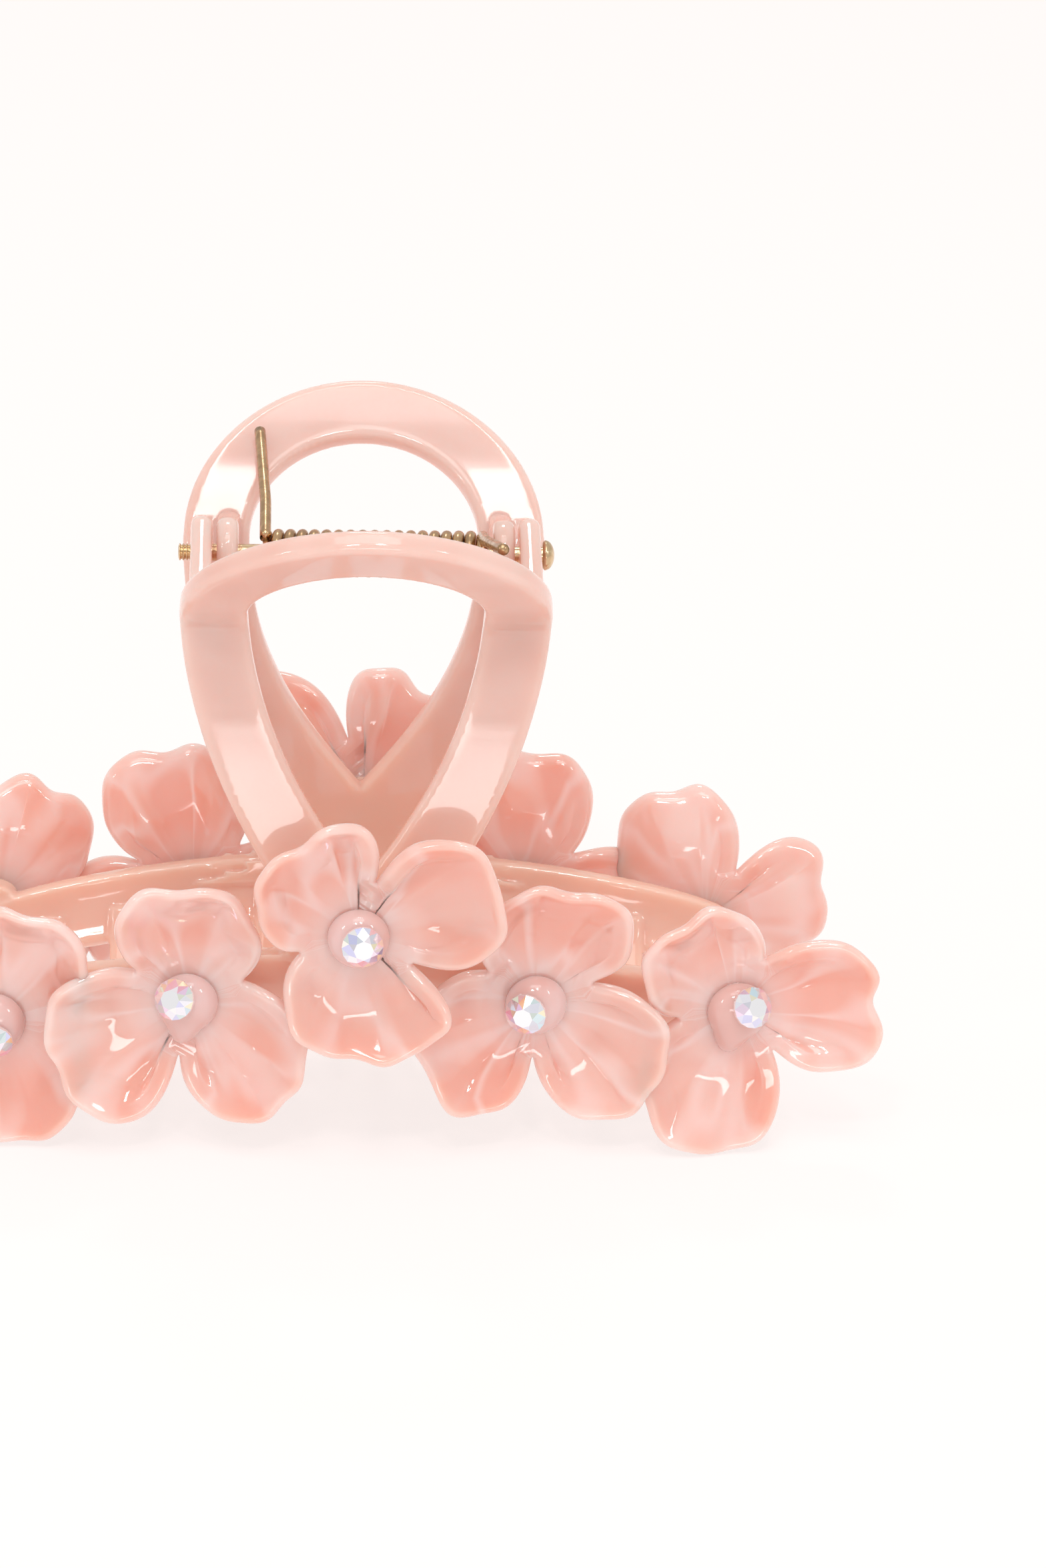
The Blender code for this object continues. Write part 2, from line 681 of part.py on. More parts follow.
def dome_mesh(name, tail, sides=16):
    """A round cap on a flat base, whose side runs out to a point where it has a tail."""
    angles = np.linspace(0, 2 * math.pi, sides, endpoint=False)
    off_tail = (angles - math.radians(tail or 0) + math.pi) % (2 * math.pi) - math.pi
    point = DOME_TAIL if tail else 0
    reach = DOME_RADIUS + point * np.exp(-((off_tail / 0.42) ** 2))
    rise = np.radians((0, 20, 42, 66))[:, None]
    radius = reach * np.cos(rise)
    height = DOME_HEIGHT * np.sin(rise) * np.ones(sides)
    points = np.stack([radius * np.cos(angles), radius * np.sin(angles), height], -1)
    flat = [tuple(p) for p in points.reshape(-1, 3)] + [(0, 0, DOME_HEIGHT)]
    faces = [tuple(range(sides))[::-1]]
    for j in range(sides):
        k = (j + 1) % sides
        for i in range(len(rise) - 1):
            a = i * sides
            faces.append((a + j, a + k, a + sides + k, a + sides + j))
        a = (len(rise) - 1) * sides
        faces.append((a + j, a + k, len(flat) - 1))
    return mesh_of(name, flat, faces)


def stone_mesh(name):
    """A flat-back cut stone: girdle, crown facets and table."""
    rows = (
        (0, STONE_DIAMETER / 2),
        (STONE_GIRDLE, STONE_DIAMETER / 2),
        (STONE_HEIGHT, STONE_TABLE / 2),
    )
    angles = np.linspace(0, 2 * math.pi, STONE_SIDES, endpoint=False)
    points = np.array([[(r * math.cos(a), r * math.sin(a), z) for a in angles] for z, r in rows])
    return loft(name, points)


def stone_matrix(flower):
    """The stone lies on the dome, leaning off its top."""
    lean, towards = (math.radians(v) for v in flower["stone"])
    axis = Vector((-math.sin(towards), math.cos(towards), 0))
    lean_turn = Matrix.Rotation(lean, 4, axis)
    dome_base = PETAL_THICKNESS / 2 + FIT_GAP
    ball = (DOME_RADIUS**2 + DOME_HEIGHT**2) / (2 * DOME_HEIGHT)
    below = Matrix.Translation((0, 0, dome_base + DOME_HEIGHT - ball))
    above = Matrix.Translation((0, 0, ball + FIT_GAP))
    return below @ lean_turn @ above


def placed(mesh, matrix):
    mesh.transform(matrix)
    return mesh


def add_flowers(frame, jaw_letter):
    """The five flowers of a jaw, each with its dome and its stone."""
    added = []
    rings = np.array((0.3, 0.65, 0.93))
    for number, flower in enumerate(FLOWERS, 1):
        place = flower_matrix(flower)
        dome_place = place @ Matrix.Translation((0, 0, PETAL_THICKNESS / 2 + FIT_GAP))
        code = f"{jaw_letter}{number}"
        petals = flower_mesh("flower", flower["petals"], 10, rings)
        dome = dome_mesh("dome", flower["tail"])
        stone = stone_mesh("stone")
        pieces = (
            (f"flower_{code}", placed(petals, place), "petal_resin"),
            (f"dome_{code}", placed(dome, dome_place), "dome_resin"),
            (f"stone_{code}", placed(stone, place @ stone_matrix(flower)), "crystal"),
        )
        added += [add_object(name, mesh, frame, finish) for name, mesh, finish in pieces]
    return added


def clear_scene():
    for obj in list(bpy.data.objects):
        bpy.data.objects.remove(obj)


def main():
    clear_scene()
    front = add_frame("front_jaw_frame", 0.0)
    back = add_frame("back_jaw_frame", math.pi)
    flowers = add_flowers(front, "f")
    add_flowers(back, "b")
    add_jaw("front_jaw", front, OUTER_EAR_FACE)
    add_jaw("back_jaw", back, INNER_EAR_FACE)
    add_pin(front)
    add_spring(front)
    # The clip stands on its lowest petals.
    lowest = min(vertex.co.z for obj in flowers for vertex in obj.data.vertices)
    front.location.z = back.location.z = -lowest
    print(f"hinge axis at {-lowest:.5f} m")


main()
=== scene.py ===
import json
import math

import bpy
import numpy as np
from mathutils import Matrix, Vector


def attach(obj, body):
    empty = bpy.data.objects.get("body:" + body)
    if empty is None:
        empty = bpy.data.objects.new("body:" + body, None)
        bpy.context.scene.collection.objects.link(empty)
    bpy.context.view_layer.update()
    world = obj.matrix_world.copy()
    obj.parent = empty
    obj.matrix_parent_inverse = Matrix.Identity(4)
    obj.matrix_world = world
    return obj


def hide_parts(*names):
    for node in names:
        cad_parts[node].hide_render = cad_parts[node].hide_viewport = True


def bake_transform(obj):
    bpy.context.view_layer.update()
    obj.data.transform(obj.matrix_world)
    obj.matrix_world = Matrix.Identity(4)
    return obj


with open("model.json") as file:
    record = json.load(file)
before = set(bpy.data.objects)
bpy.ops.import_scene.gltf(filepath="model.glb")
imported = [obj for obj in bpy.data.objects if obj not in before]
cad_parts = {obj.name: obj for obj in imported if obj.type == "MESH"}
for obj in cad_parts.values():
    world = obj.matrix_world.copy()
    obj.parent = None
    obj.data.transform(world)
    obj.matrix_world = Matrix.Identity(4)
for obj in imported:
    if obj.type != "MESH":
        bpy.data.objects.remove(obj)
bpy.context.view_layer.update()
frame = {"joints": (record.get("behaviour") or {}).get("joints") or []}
mm = 0.001
hingeUp = frame["joints"][0]["pos_m"][2]
print("frame loaded, hinge axis", hingeUp, "m up")


# Meshes from grids of points


def closedPart(rows, ring=False, ends=None, **values):
    # rows of points joined into quads: a loop of rows, or a tube shut by a middle point at each end
    count, around = rows.shape[:2]
    points = rows.reshape(-1, 3)
    i = np.arange(count if ring else count - 1)[:, None]
    j = np.arange(around)[None]
    a, b, k = i * around, (i + 1) % count * around, (j + 1) % around
    quads = np.stack([a + j, a + k, b + k, b + j], -1).reshape(-1, 4)
    tris = np.zeros((0, 3), int)
    values = {name: np.broadcast_to(v, (count, around) + np.shape(v)[2:]) for name, v in values.items()}
    values = {name: v.reshape(count * around, -1) for name, v in values.items()}
    if not ring:
        ends = rows[[0, -1]].mean(1) if ends is None else np.asarray(ends, float)
        near, first = np.arange(around), len(points)
        after, far = (near + 1) % around, (count - 1) * around
        points = np.concatenate([points, ends])
        tris = np.concatenate([
            np.stack([np.full(around, first), after, near], -1),
            np.stack([np.full(around, first + 1), far + near, far + after], -1),
        ])
        values = {
            name: np.concatenate([v, v[:around].mean(0)[None], v[-around:].mean(0)[None]])
            for name, v in values.items()
        }
    corners = np.concatenate([tris, quads[:, :3], quads[:, [0, 2, 3]]])
    a, b, c = (points[corners[:, n]] for n in range(3))
    if (a * np.cross(b, c)).sum() < 0:  # inside out
        quads, tris = quads[:, ::-1], tris[:, ::-1]
    return {"points": points, "quads": quads, "tris": tris, "values": values}


def addPiece(name, parts, material, place=None, flat=False):
    # one object from closed parts; place is a matrix that takes them to the row frame
    points = np.concatenate([part["points"] for part in parts])
    if place is not None:
        m = np.array(place)
        points = points @ m[:3, :3].T + m[:3, 3]
    starts = np.cumsum([0] + [len(part["points"]) for part in parts[:-1]])
    faces = []
    for part, start in zip(parts, starts):
        faces += (part["quads"] + start).tolist() + (part["tris"] + start).tolist()
    mesh = bpy.data.meshes.new(name)
    mesh.from_pydata(points.tolist(), [], faces)
    mesh.polygons.foreach_set("use_smooth", [not flat] * len(mesh.polygons))
    for key in parts[0]["values"]:
        data = np.concatenate([part["values"][key] for part in parts])
        if data.shape[1] == 1:
            mesh.attributes.new(key, "FLOAT", "POINT").data.foreach_set("value", data.ravel())
        else:
            mesh.attributes.new(key, "FLOAT_VECTOR", "POINT").data.foreach_set("vector", data.ravel())
    mesh.materials.append(material)
    mesh.update()
    obj = bpy.data.objects.new(name, mesh)
    bpy.context.scene.collection.objects.link(obj)
    return obj


def settle(obj, body, node):
    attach(obj, body)
    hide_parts(node)


def cornered(size, radius, corner=6, flat=6):
    # a rounded rectangle as rows of (share, radii, across): each point is at share * length + radii * radius
    angles = np.linspace(0, math.pi / 2, corner + 1)
    run = np.linspace(0, 1, flat + 2)[1:-1]
    half = size / 2
    rows = []
    rows += [(0, 1 - math.cos(a), half - radius + radius * math.sin(a)) for a in angles]
    rows += [(v, 1 - 2 * v, half) for v in run]
    rows += [(1, math.sin(a) - 1, half - radius + radius * math.cos(a)) for a in angles]
    top = np.array(rows)
    bottom = top[::-1] * (1, 1, -1)
    return np.concatenate([top, bottom])


# Materials


def nodesOf(name):
    material = bpy.data.materials.new(name)
    material.use_nodes = True
    tree = material.node_tree
    return material, tree, tree.nodes["Principled BSDF"]


def setShader(shader, values):
    for name, value in values.items():
        shader.inputs[name].default_value = value


def makeMarbleGroup():
    # milky swirls: noise whose place is pushed about by a slower noise
    group = bpy.data.node_groups.new("milkySwirls", "ShaderNodeTree")
    face = group.interface
    face.new_socket("Place", in_out="INPUT", socket_type="NodeSocketVector")
    for name, value in (("Scale", 200.0), ("Push", 0.004), ("Softness", 0.25)):
        face.new_socket(name, in_out="INPUT", socket_type="NodeSocketFloat").default_value = value
    face.new_socket("Cloud", in_out="OUTPUT", socket_type="NodeSocketFloat")
    face.new_socket("Streak", in_out="OUTPUT", socket_type="NodeSocketFloat")
    nodes, links = group.nodes, group.links
    start, end = nodes.new("NodeGroupInput"), nodes.new("NodeGroupOutput")
    slow = nodes.new("ShaderNodeTexNoise")
    links.new(start.outputs["Place"], slow.inputs["Vector"])
    links.new(start.outputs["Scale"], slow.inputs["Scale"])
    slow.inputs["Detail"].default_value = 1.0
    centred = nodes.new("ShaderNodeVectorMath")
    centred.operation = "SUBTRACT"
    centred.inputs[1].default_value = (0.5, 0.5, 0.5)
    links.new(slow.outputs["Color"], centred.inputs[0])
    pushed = nodes.new("ShaderNodeVectorMath")
    pushed.operation = "SCALE"
    links.new(centred.outputs[0], pushed.inputs[0])
    links.new(start.outputs["Push"], pushed.inputs["Scale"])
    moved = nodes.new("ShaderNodeVectorMath")
    links.new(start.outputs["Place"], moved.inputs[0])
    links.new(pushed.outputs[0], moved.inputs[1])
    cloud = nodes.new("ShaderNodeTexNoise")
    cloud.inputs["Detail"].default_value = 2.0
    links.new(moved.outputs[0], cloud.inputs["Vector"])
    links.new(start.outputs["Scale"], cloud.inputs["Scale"])
    spread = nodes.new("ShaderNodeMapRange")
    spread.inputs["From Min"].default_value = 0.32
    spread.inputs["From Max"].default_value = 0.68
    spread.interpolation_type = "SMOOTHSTEP"
    links.new(cloud.outputs["Fac"], spread.inputs["Value"])
    links.new(spread.outputs[0], end.inputs["Cloud"])
    # a streak is where a second noise crosses its middle value
    ridge = nodes.new("ShaderNodeTexNoise")
    ridge.inputs["Detail"].default_value = 1.0
    faster = nodes.new("ShaderNodeMath")
    faster.operation = "MULTIPLY"
    faster.inputs[1].default_value = 0.8
    links.new(start.outputs["Scale"], faster.inputs[0])
    links.new(faster.outputs[0], ridge.inputs["Scale"])
    shifted = nodes.new("ShaderNodeVectorMath")
    shifted.inputs[1].default_value = (0.31, 0.17, 0.53)
    links.new(moved.outputs[0], shifted.inputs[0])
    links.new(shifted.outputs[0], ridge.inputs["Vector"])
    offMiddle = nodes.new("ShaderNodeMath")
    offMiddle.operation = "SUBTRACT"
    offMiddle.inputs[1].default_value = 0.5
    links.new(ridge.outputs["Fac"], offMiddle.inputs[0])
    size = nodes.new("ShaderNodeMath")
    size.operation = "ABSOLUTE"
    links.new(offMiddle.outputs[0], size.inputs[0])
    band = nodes.new("ShaderNodeMapRange")
    band.inputs["From Min"].default_value = 0.0
    band.inputs["To Min"].default_value = 1.0
    band.inputs["To Max"].default_value = 0.0
    band.interpolation_type = "SMOOTHSTEP"
    links.new(start.outputs["Softness"], band.inputs["From Max"])
    links.new(size.outputs[0], band.inputs["Value"])
    links.new(band.outputs[0], end.inputs["Streak"])
    return group


def mixColours(tree, factor, a, b):
    # a and b are colours or sockets
    mix = tree.nodes.new("ShaderNodeMix")
    mix.data_type = "RGBA"
    for value, socket in ((factor, mix.inputs[0]), (a, mix.inputs[6]), (b, mix.inputs[7])):
        if isinstance(value, bpy.types.NodeSocket):
            tree.links.new(value, socket)
        else:
            socket.default_value = value if socket.type == "VALUE" else (*value, 1)
    return mix.outputs[2]


def attributeOf(tree, name):
    node = tree.nodes.new("ShaderNodeAttribute")
    node.attribute_name = name
    return node


def ranged(tree, value, low, high, outLow=0.0, outHigh=1.0):
    node = tree.nodes.new("ShaderNodeMapRange")
    node.interpolation_type = "SMOOTHSTEP"
    tree.links.new(value, node.inputs["Value"])
    for name, number in (("From Min", low), ("From Max", high), ("To Min", outLow), ("To Max", outHigh)):
        node.inputs[name].default_value = number
    return node.outputs[0]


def scaled(tree, value, share):
    node = tree.nodes.new("ShaderNodeMath")
    node.operation = "MULTIPLY"
    node.inputs[1].default_value = share
    tree.links.new(value, node.inputs[0])
    return node.outputs[0]


def swirls(tree, place, scale, push, softness):
    node = tree.nodes.new("ShaderNodeGroup")
    node.node_tree = marbleGroup
    tree.links.new(place, node.inputs["Place"])
    node.inputs["Scale"].default_value = scale
    node.inputs["Push"].default_value = push
    node.inputs["Softness"].default_value = softness
    return node


marbleGroup = makeMarbleGroup()

jawResin = {
    "pink": (0.575, 0.42, 0.37),
    "milk": (0.63, 0.53, 0.49),
    # painted light: a warmer colour low down stands in for the petals' light shining into the resin; next,
    # the heights over which it fades out
    "paintedPetalLight": (0.68, 0.455, 0.365),
    "paintedPetalLightBelow": (0.024, 0.044),
    # the colour of a painted glow that lightens the resin's shade
    "inside": (1.0, 0.40, 0.27),
    "roughness": 0.08,
    "coat": 0.3,
    # the strength of that painted glow
    "lift": 0.12,
    "swirl": (70.0, 0.01, 0.06),  # scale, push and softness
    "milkShare": 0.6,
    # the share of that painted light at the bottom
    "paintedPetalLightShare": 0.85,
    # the round marks of the ejector pins, on the inner faces beside the arch's opening
    "markPlace": (14.2 * mm, 13.6 * mm, hingeUp + 3.6 * mm),
    "markRadius": 1.05 * mm,
    "markEdge": 0.12 * mm,
    "markDepth": 0.3 * mm,
    "glow": 1.0,
    "glowDepth": 0.006,
}


def makeJawResin():
    material, tree, shader = nodesOf("milkyPinkResin")
    place = tree.nodes.new("ShaderNodeTexCoord").outputs["Object"]
    cloud = scaled(tree, swirls(tree, place, *jawResin["swirl"]).outputs["Cloud"], jawResin["milkShare"])
    body = mixColours(tree, cloud, jawResin["pink"], jawResin["milk"])
    # painted light: warmer low down, standing in for the petals' colour shining into the resin
    parts = tree.nodes.new("ShaderNodeSeparateXYZ")
    tree.links.new(place, parts.inputs[0])
    low = ranged(tree, parts.outputs[2], *jawResin["paintedPetalLightBelow"], jawResin["paintedPetalLightShare"], 0.0)
    body = mixColours(tree, low, body, jawResin["paintedPetalLight"])
    tree.links.new(body, shader.inputs["Base Color"])
    # painted glow: a warm emission lightens the shade, standing in for light passing through the resin
    setShader(shader, {"Emission Color": (*jawResin["inside"], 1), "Emission Strength": jawResin["lift"]})
    setShader(shader, {"Roughness": jawResin["roughness"], "IOR": 1.5, "Subsurface Weight": jawResin["glow"]})
    setShader(shader, {"Subsurface Scale": jawResin["glowDepth"], "Subsurface Radius": (1.0, 0.55, 0.5)})
    setShader(shader, {"Coat Weight": jawResin["coat"], "Coat Roughness": 0.02})
    # four marks from one: the place is folded about the two upright planes
    folded = tree.nodes.new("ShaderNodeCombineXYZ")
    for axis in (0, 1):
        size = tree.nodes.new("ShaderNodeMath")
        size.operation = "ABSOLUTE"
        tree.links.new(parts.outputs[axis], size.inputs[0])
        tree.links.new(size.outputs[0], folded.inputs[axis])
    tree.links.new(parts.outputs[2], folded.inputs[2])
    apart = tree.nodes.new("ShaderNodeVectorMath")
    apart.operation = "DISTANCE"
    apart.inputs[1].default_value = jawResin["markPlace"]
    tree.links.new(folded.outputs[0], apart.inputs[0])
    radius, soft = jawResin["markRadius"], jawResin["markEdge"]
    mark = ranged(tree, apart.outputs["Value"], radius - soft, radius + soft, 1.0, 0.0)
    bump = tree.nodes.new("ShaderNodeBump")
    bump.inputs["Distance"].default_value = jawResin["markDepth"]
    tree.links.new(mark, bump.inputs["Height"])
    tree.links.new(bump.outputs[0], shader.inputs["Normal"])
    return material


petalResin = {
    "salmon": (0.665, 0.355, 0.285),
    "pink": (0.675, 0.44, 0.385),
    "milk": (0.72, 0.58, 0.56),
    "rim": (0.70, 0.49, 0.455),
    "roughness": 0.09,
    "coat": 1.0,
    # the strength of a painted glow that lightens the petals' shade
    "lift": 0.09,
    "fineSwirl": (0.16, 5.0, 0.09),  # scale, push and softness
    "wideSwirl": (0.11, 5.0, 0.1),
    "streakShare": 0.55,
    # where the colour turns, in mm from the rim or the hub, and its share there
    "rimWidth": (0.2, 1.1),
    "rimShare": 0.45,
    "hubWidth": (3.5, 8.5),
    "hubShare": 0.45,
    "glow": 1.0,
    "glowDepth": 0.006,
}


def makePetalResin():
    material, tree, shader = nodesOf("marbledPetalResin")
    place = attributeOf(tree, "petalPlace").outputs["Vector"]
    fine, wide = (swirls(tree, place, *petalResin[name]) for name in ("fineSwirl", "wideSwirl"))
    body = mixColours(tree, wide.outputs["Cloud"], petalResin["salmon"], petalResin["pink"])
    streak = scaled(tree, fine.outputs["Streak"], petalResin["streakShare"])
    body = mixColours(tree, streak, body, petalResin["milk"])
    fromRim = attributeOf(tree, "rimDistance").outputs["Fac"]
    rim = ranged(tree, fromRim, *petalResin["rimWidth"], petalResin["rimShare"], 0.0)
    body = mixColours(tree, rim, body, petalResin["rim"])
    fromHub = attributeOf(tree, "hubDistance").outputs["Fac"]
    hub = ranged(tree, fromHub, *petalResin["hubWidth"], petalResin["hubShare"], 0.0)
    body = mixColours(tree, hub, body, petalResin["milk"])
    tree.links.new(body, shader.inputs["Base Color"])
    # painted glow: the petals give off a little of their own colour, standing in for light passing through
    # them
    tree.links.new(body, shader.inputs["Emission Color"])
    setShader(shader, {"Emission Strength": petalResin["lift"]})
    setShader(shader, {"Roughness": petalResin["roughness"], "IOR": 1.5})
    setShader(shader, {"Subsurface Weight": petalResin["glow"], "Subsurface Scale": petalResin["glowDepth"]})
    setShader(shader, {"Subsurface Radius": (1.0, 0.5, 0.45)})
    setShader(shader, {"Coat Weight": petalResin["coat"], "Coat Roughness": 0.015})
    return material


domeResin = {
    "pink": (0.72, 0.44, 0.40),
    "pale": (0.75, 0.53, 0.51),
    "roughness": 0.1,
    "coat": 0.4,
    "swirl": (150.0, 0.004, 0.06),  # scale, push and softness
    "glow": 0.4,
    "glowDepth": 0.002,
}


def makeDomeResin():
    material, tree, shader = nodesOf("lilacPinkResin")
    place = tree.nodes.new("ShaderNodeTexCoord").outputs["Object"]
    cloud = swirls(tree, place, *domeResin["swirl"]).outputs["Cloud"]
    body = mixColours(tree, cloud, domeResin["pink"], domeResin["pale"])
    tree.links.new(body, shader.inputs["Base Color"])
    setShader(shader, {"Roughness": domeResin["roughness"], "IOR": 1.5})
    setShader(shader, {"Subsurface Weight": domeResin["glow"], "Subsurface Scale": domeResin["glowDepth"]})
    setShader(shader, {"Subsurface Radius": (1.0, 0.5, 0.5)})
    setShader(shader, {"Coat Weight": domeResin["coat"], "Coat Roughness": 0.03})
    return material


def makeMetal(name, light, dark, roughness, scale):
    material, tree, shader = nodesOf(name)
    place = tree.nodes.new("ShaderNodeTexCoord").outputs["Object"]
    swirl = swirls(tree, place, scale, 0.002, 0.08)
    tree.links.new(mixColours(tree, swirl.outputs["Cloud"], light, dark), shader.inputs["Base Color"])
    tree.links.new(
        ranged(tree, swirl.outputs["Cloud"], 0.0, 1.0, roughness, roughness * 1.6), shader.inputs["Roughness"]
    )
    setShader(shader, {"Metallic": 1.0})
    return material


stoneColours = (
    (0.0, (0.95, 0.95, 0.98)),
    (0.2, (0.62, 0.64, 0.92)),
    (0.38, (0.93, 0.93, 0.97)),
    (0.52, (0.88, 0.60, 0.86)),
    (0.66, (0.97, 0.96, 0.98)),
    (0.78, (0.93, 0.84, 0.58)),
    (0.9, (0.66, 0.84, 0.93)),
    (1.0, (0.74, 0.70, 0.78)),
)


def makeCrystal():
    material, tree, shader = nodesOf("rainbowCrystal")
    ramp = tree.nodes.new("ShaderNodeValToRGB")
    ramp.color_ramp.interpolation = "LINEAR"
    while len(ramp.color_ramp.elements) < len(stoneColours):
        ramp.color_ramp.elements.new(0.5)
    for element, (place, colour) in zip(ramp.color_ramp.elements, stoneColours):
        element.position = place
        element.color = (*colour, 1)
    tone = attributeOf(tree, "facetTone").outputs["Fac"]
    tree.links.new(tone, ramp.inputs["Fac"])
    tree.links.new(ramp.outputs["Color"], shader.inputs["Base Color"])
    setShader(shader, {"Roughness": 0.06, "Metallic": 0.75, "IOR": 1.6})
    setShader(shader, {"Coat Weight": 0.6, "Coat Roughness": 0.02})
    return material


jawMaterial = makeJawResin()
petalMaterial = makePetalResin()
domeMaterial = makeDomeResin()
goldMaterial = makeMetal("paleGold", (0.78, 0.60, 0.38), (0.62, 0.44, 0.26), 0.16, 900.0)
wireMaterial = makeMetal("copperyWire", (0.62, 0.40, 0.22), (0.42, 0.27, 0.15), 0.2, 700.0)
crystalMaterial = makeCrystal()
print("materials made")


# Jaws: the plate of a handle loop, the band with its teeth, and the ears, as one moulding

plate = {
    "outerRadius": 19.4 * mm,
    "barWidth": 7.1 * mm,
    "openingBelow": 30.4 * mm,
    "taperLength": 42.3 * mm,
    "footBelow": 42.0 * mm,
    "webHalfWidth": 6.2 * mm,
    "webSpread": 12.0 * mm,
    "webTopBelow": 34.0 * mm,
    "webHeight": 8.0 * mm,
    "webFlare": 3.2,  # the power of its spread
    "webBlend": 1.5 * mm,
    "thickness": 2.6 * mm,
    "edgeRadius": 0.75 * mm,
    "skinStep": 0.29 * mm,
    "start": (10.75 * mm, -2.35 * mm),
    # lean outwards in degrees, at distances along the plate from the arch's centre
    "lean": (
        (-52.0 * mm, 40.0),
        (-40.0 * mm, 12.0),
        (-33.0 * mm, -3.0),
        (-26.0 * mm, -14.0),
        (-14.0 * mm, -12.0),
        (-6.0 * mm, 2.0),
        (2.6 * mm, 50.5),
        (22.0 * mm, 45.0),
    ),
}
band = {
    "halfLength": 44.5 * mm,
    "height": 7.8 * mm,
    "thickness": 2.2 * mm,
    "edgeRadius": 0.5 * mm,
    "topOut": 13.4 * mm,
    "topBelow": 40.0 * mm,
    "bow": 3.4 * mm,
    "bowFrom": (30.0 * mm, 10.0 * mm),  # the plate takes up the bow from here, over this height
    "drop": 5.6 * mm,
    "lean": (3.0, 46.0),
    "endRounding": 14,  # a higher power is a blunter end
    "endLeast": 0.03,
}
teeth = {
    "count": 10,
    "pitch": 8.0 * mm,
    "width": 3.1 * mm,
    "tipWidth": 1.7 * mm,
    "thickness": 2.3 * mm,
    "padDrop": 3.8 * mm,
    "padRise": 0.55 * mm,
    "tipBelow": 57.2 * mm,
    "tipPast": 1.2 * mm,
    "rootPull": 0.4,
    "tipPull": 0.35,
    "tipLean": 0.9,  # in radians
    "thinning": 0.45,
    "taperPower": 1.6,
    "endShare": 0.035,  # of its length, rounded off
    "squareness": 0.55,  # 1 is round, less is squarer
}
ears = {
    "thickness": 2.3 * mm,
    "radius": 3.9 * mm,
    "outerFace": 16.15 * mm,
    "innerFace": 13.4 * mm,
    "edgeRadius": 1.0 * mm,
    # where a lug is drawn in from, and its foot inside the side bar, as out and up from the axis
    "centre": (3.0 * mm, -0.5 * mm),
    "foot": ((11.2 * mm, 0.6 * mm), (10.4 * mm, -1.0 * mm), (9.4 * mm, -8.0 * mm)),
}


def smoothTable(pairs, at):
    # a cubic ease between the pairs' values, flat at each pair
    places, values = np.array(pairs).T
    at = np.clip(at, places[0], places[-1])
    step = np.clip(np.searchsorted(places, at) - 1, 0, len(places) - 2)
    part = (at - places[step]) / (places[step + 1] - places[step])
    return values[step] + (values[step + 1] - values[step]) * part**2 * (3 - 2 * part)


def platePoint(along):
    # the plate's middle surface: its lean, summed along it, gives how far out and up it is
    fine = np.linspace(plate["lean"][0][0], 22 * mm, 4000)
    lean = np.radians(smoothTable(plate["lean"], fine))
    step = fine[1] - fine[0]
    out, up = np.cumsum(np.sin(lean)) * step, np.cumsum(np.cos(lean)) * step
    out += plate["start"][0] - np.interp(0, fine, out)
    up += plate["start"][1] - np.interp(0, fine, up)
    return np.interp(along, fine, out), np.interp(along, fine, up), np.interp(along, fine, lean)


def jawPoints(across, out, up):
    return np.stack(np.broadcast_arrays(across, -np.asarray(out), up), -1)


def evenly(points, count):
    # a line through points, at even steps of its length
    lengths = np.concatenate([[0], np.cumsum(np.linalg.norm(np.diff(points, axis=0), axis=1))])
    at = np.linspace(0, lengths[-1], count)
    return np.stack([np.interp(at, lengths, points[:, k]) for k in range(points.shape[1])], -1)


def loopPart():
    # rays from the opening's edge to the plate's edge, each carrying the same rounded section
    radius, inner = plate["outerRadius"], plate["outerRadius"] - plate["barWidth"]
    t = np.linspace(0, 1, 90)
    innerSide = np.stack([inner * (1 - t**2), -plate["openingBelow"] * t], -1)
    innerSide = evenly(innerSide, 90)
    s = np.linspace(0, plate["footBelow"], 300)
    bar = radius * (1 - (s / plate["taperLength"]) ** 2)
    level = np.clip((s - plate["webTopBelow"]) / plate["webHeight"], 0, 1)
    web = plate["webHalfWidth"] + plate["webSpread"] * level ** plate["webFlare"]
    # the wider of the bars and the web, blended where they are equal
    wide = (bar + web + np.sqrt((bar - web) ** 2 + plate["webBlend"] ** 2)) / 2
    foot = np.linspace(1, 0, 60)[1:]
    outerSide = np.concatenate([
        np.stack([wide, -s], -1),
        np.stack([wide[-1] * foot, np.full(59, -plate["footBelow"])], -1),
    ])
    lengths = np.concatenate([[0], np.cumsum(np.linalg.norm(np.diff(outerSide, axis=0), axis=1))])
    share = np.linspace(0, 1, 90)
    at = lengths[-1] * (0.42 * share + 0.58 * share**2.6)
    outerSide = np.stack([np.interp(at, lengths, outerSide[:, k]) for k in range(2)], -1)
    arch = np.linspace(0, math.pi, 121)[1:-1]
    archUnit = np.stack([np.cos(arch), np.sin(arch)], -1)
    mirrored = (-1, 1)
    innerEdge = np.concatenate([innerSide[::-1], inner * archUnit, innerSide[:-1] * mirrored])
    outerEdge = np.concatenate([outerSide[::-1], radius * archUnit, outerSide[:-1] * mirrored])
    ray = outerEdge - innerEdge
    length = np.linalg.norm(ray, axis=1)
    ray /= length[:, None]
    section = cornered(plate["thickness"], plate["edgeRadius"], 7, 14)
    reach = section[:, 1] * plate["edgeRadius"] + section[:, 0] * length[:, None]
    across = innerEdge[:, :1] + ray[:, :1] * reach
    along = innerEdge[:, 1:] + ray[:, 1:] * reach
    out, up, lean = platePoint(along)
    bowTop, bowHeight = band["bowFrom"]
    bow = band["bow"] * (across / band["halfLength"]) ** 2 * np.clip((-along - bowTop) / bowHeight, 0, 1)
    offset = section[:, 2]
    points = jawPoints(across, out - bow + offset * np.cos(lean), up - offset * np.sin(lean))
    return closedPart(points, ring=True)


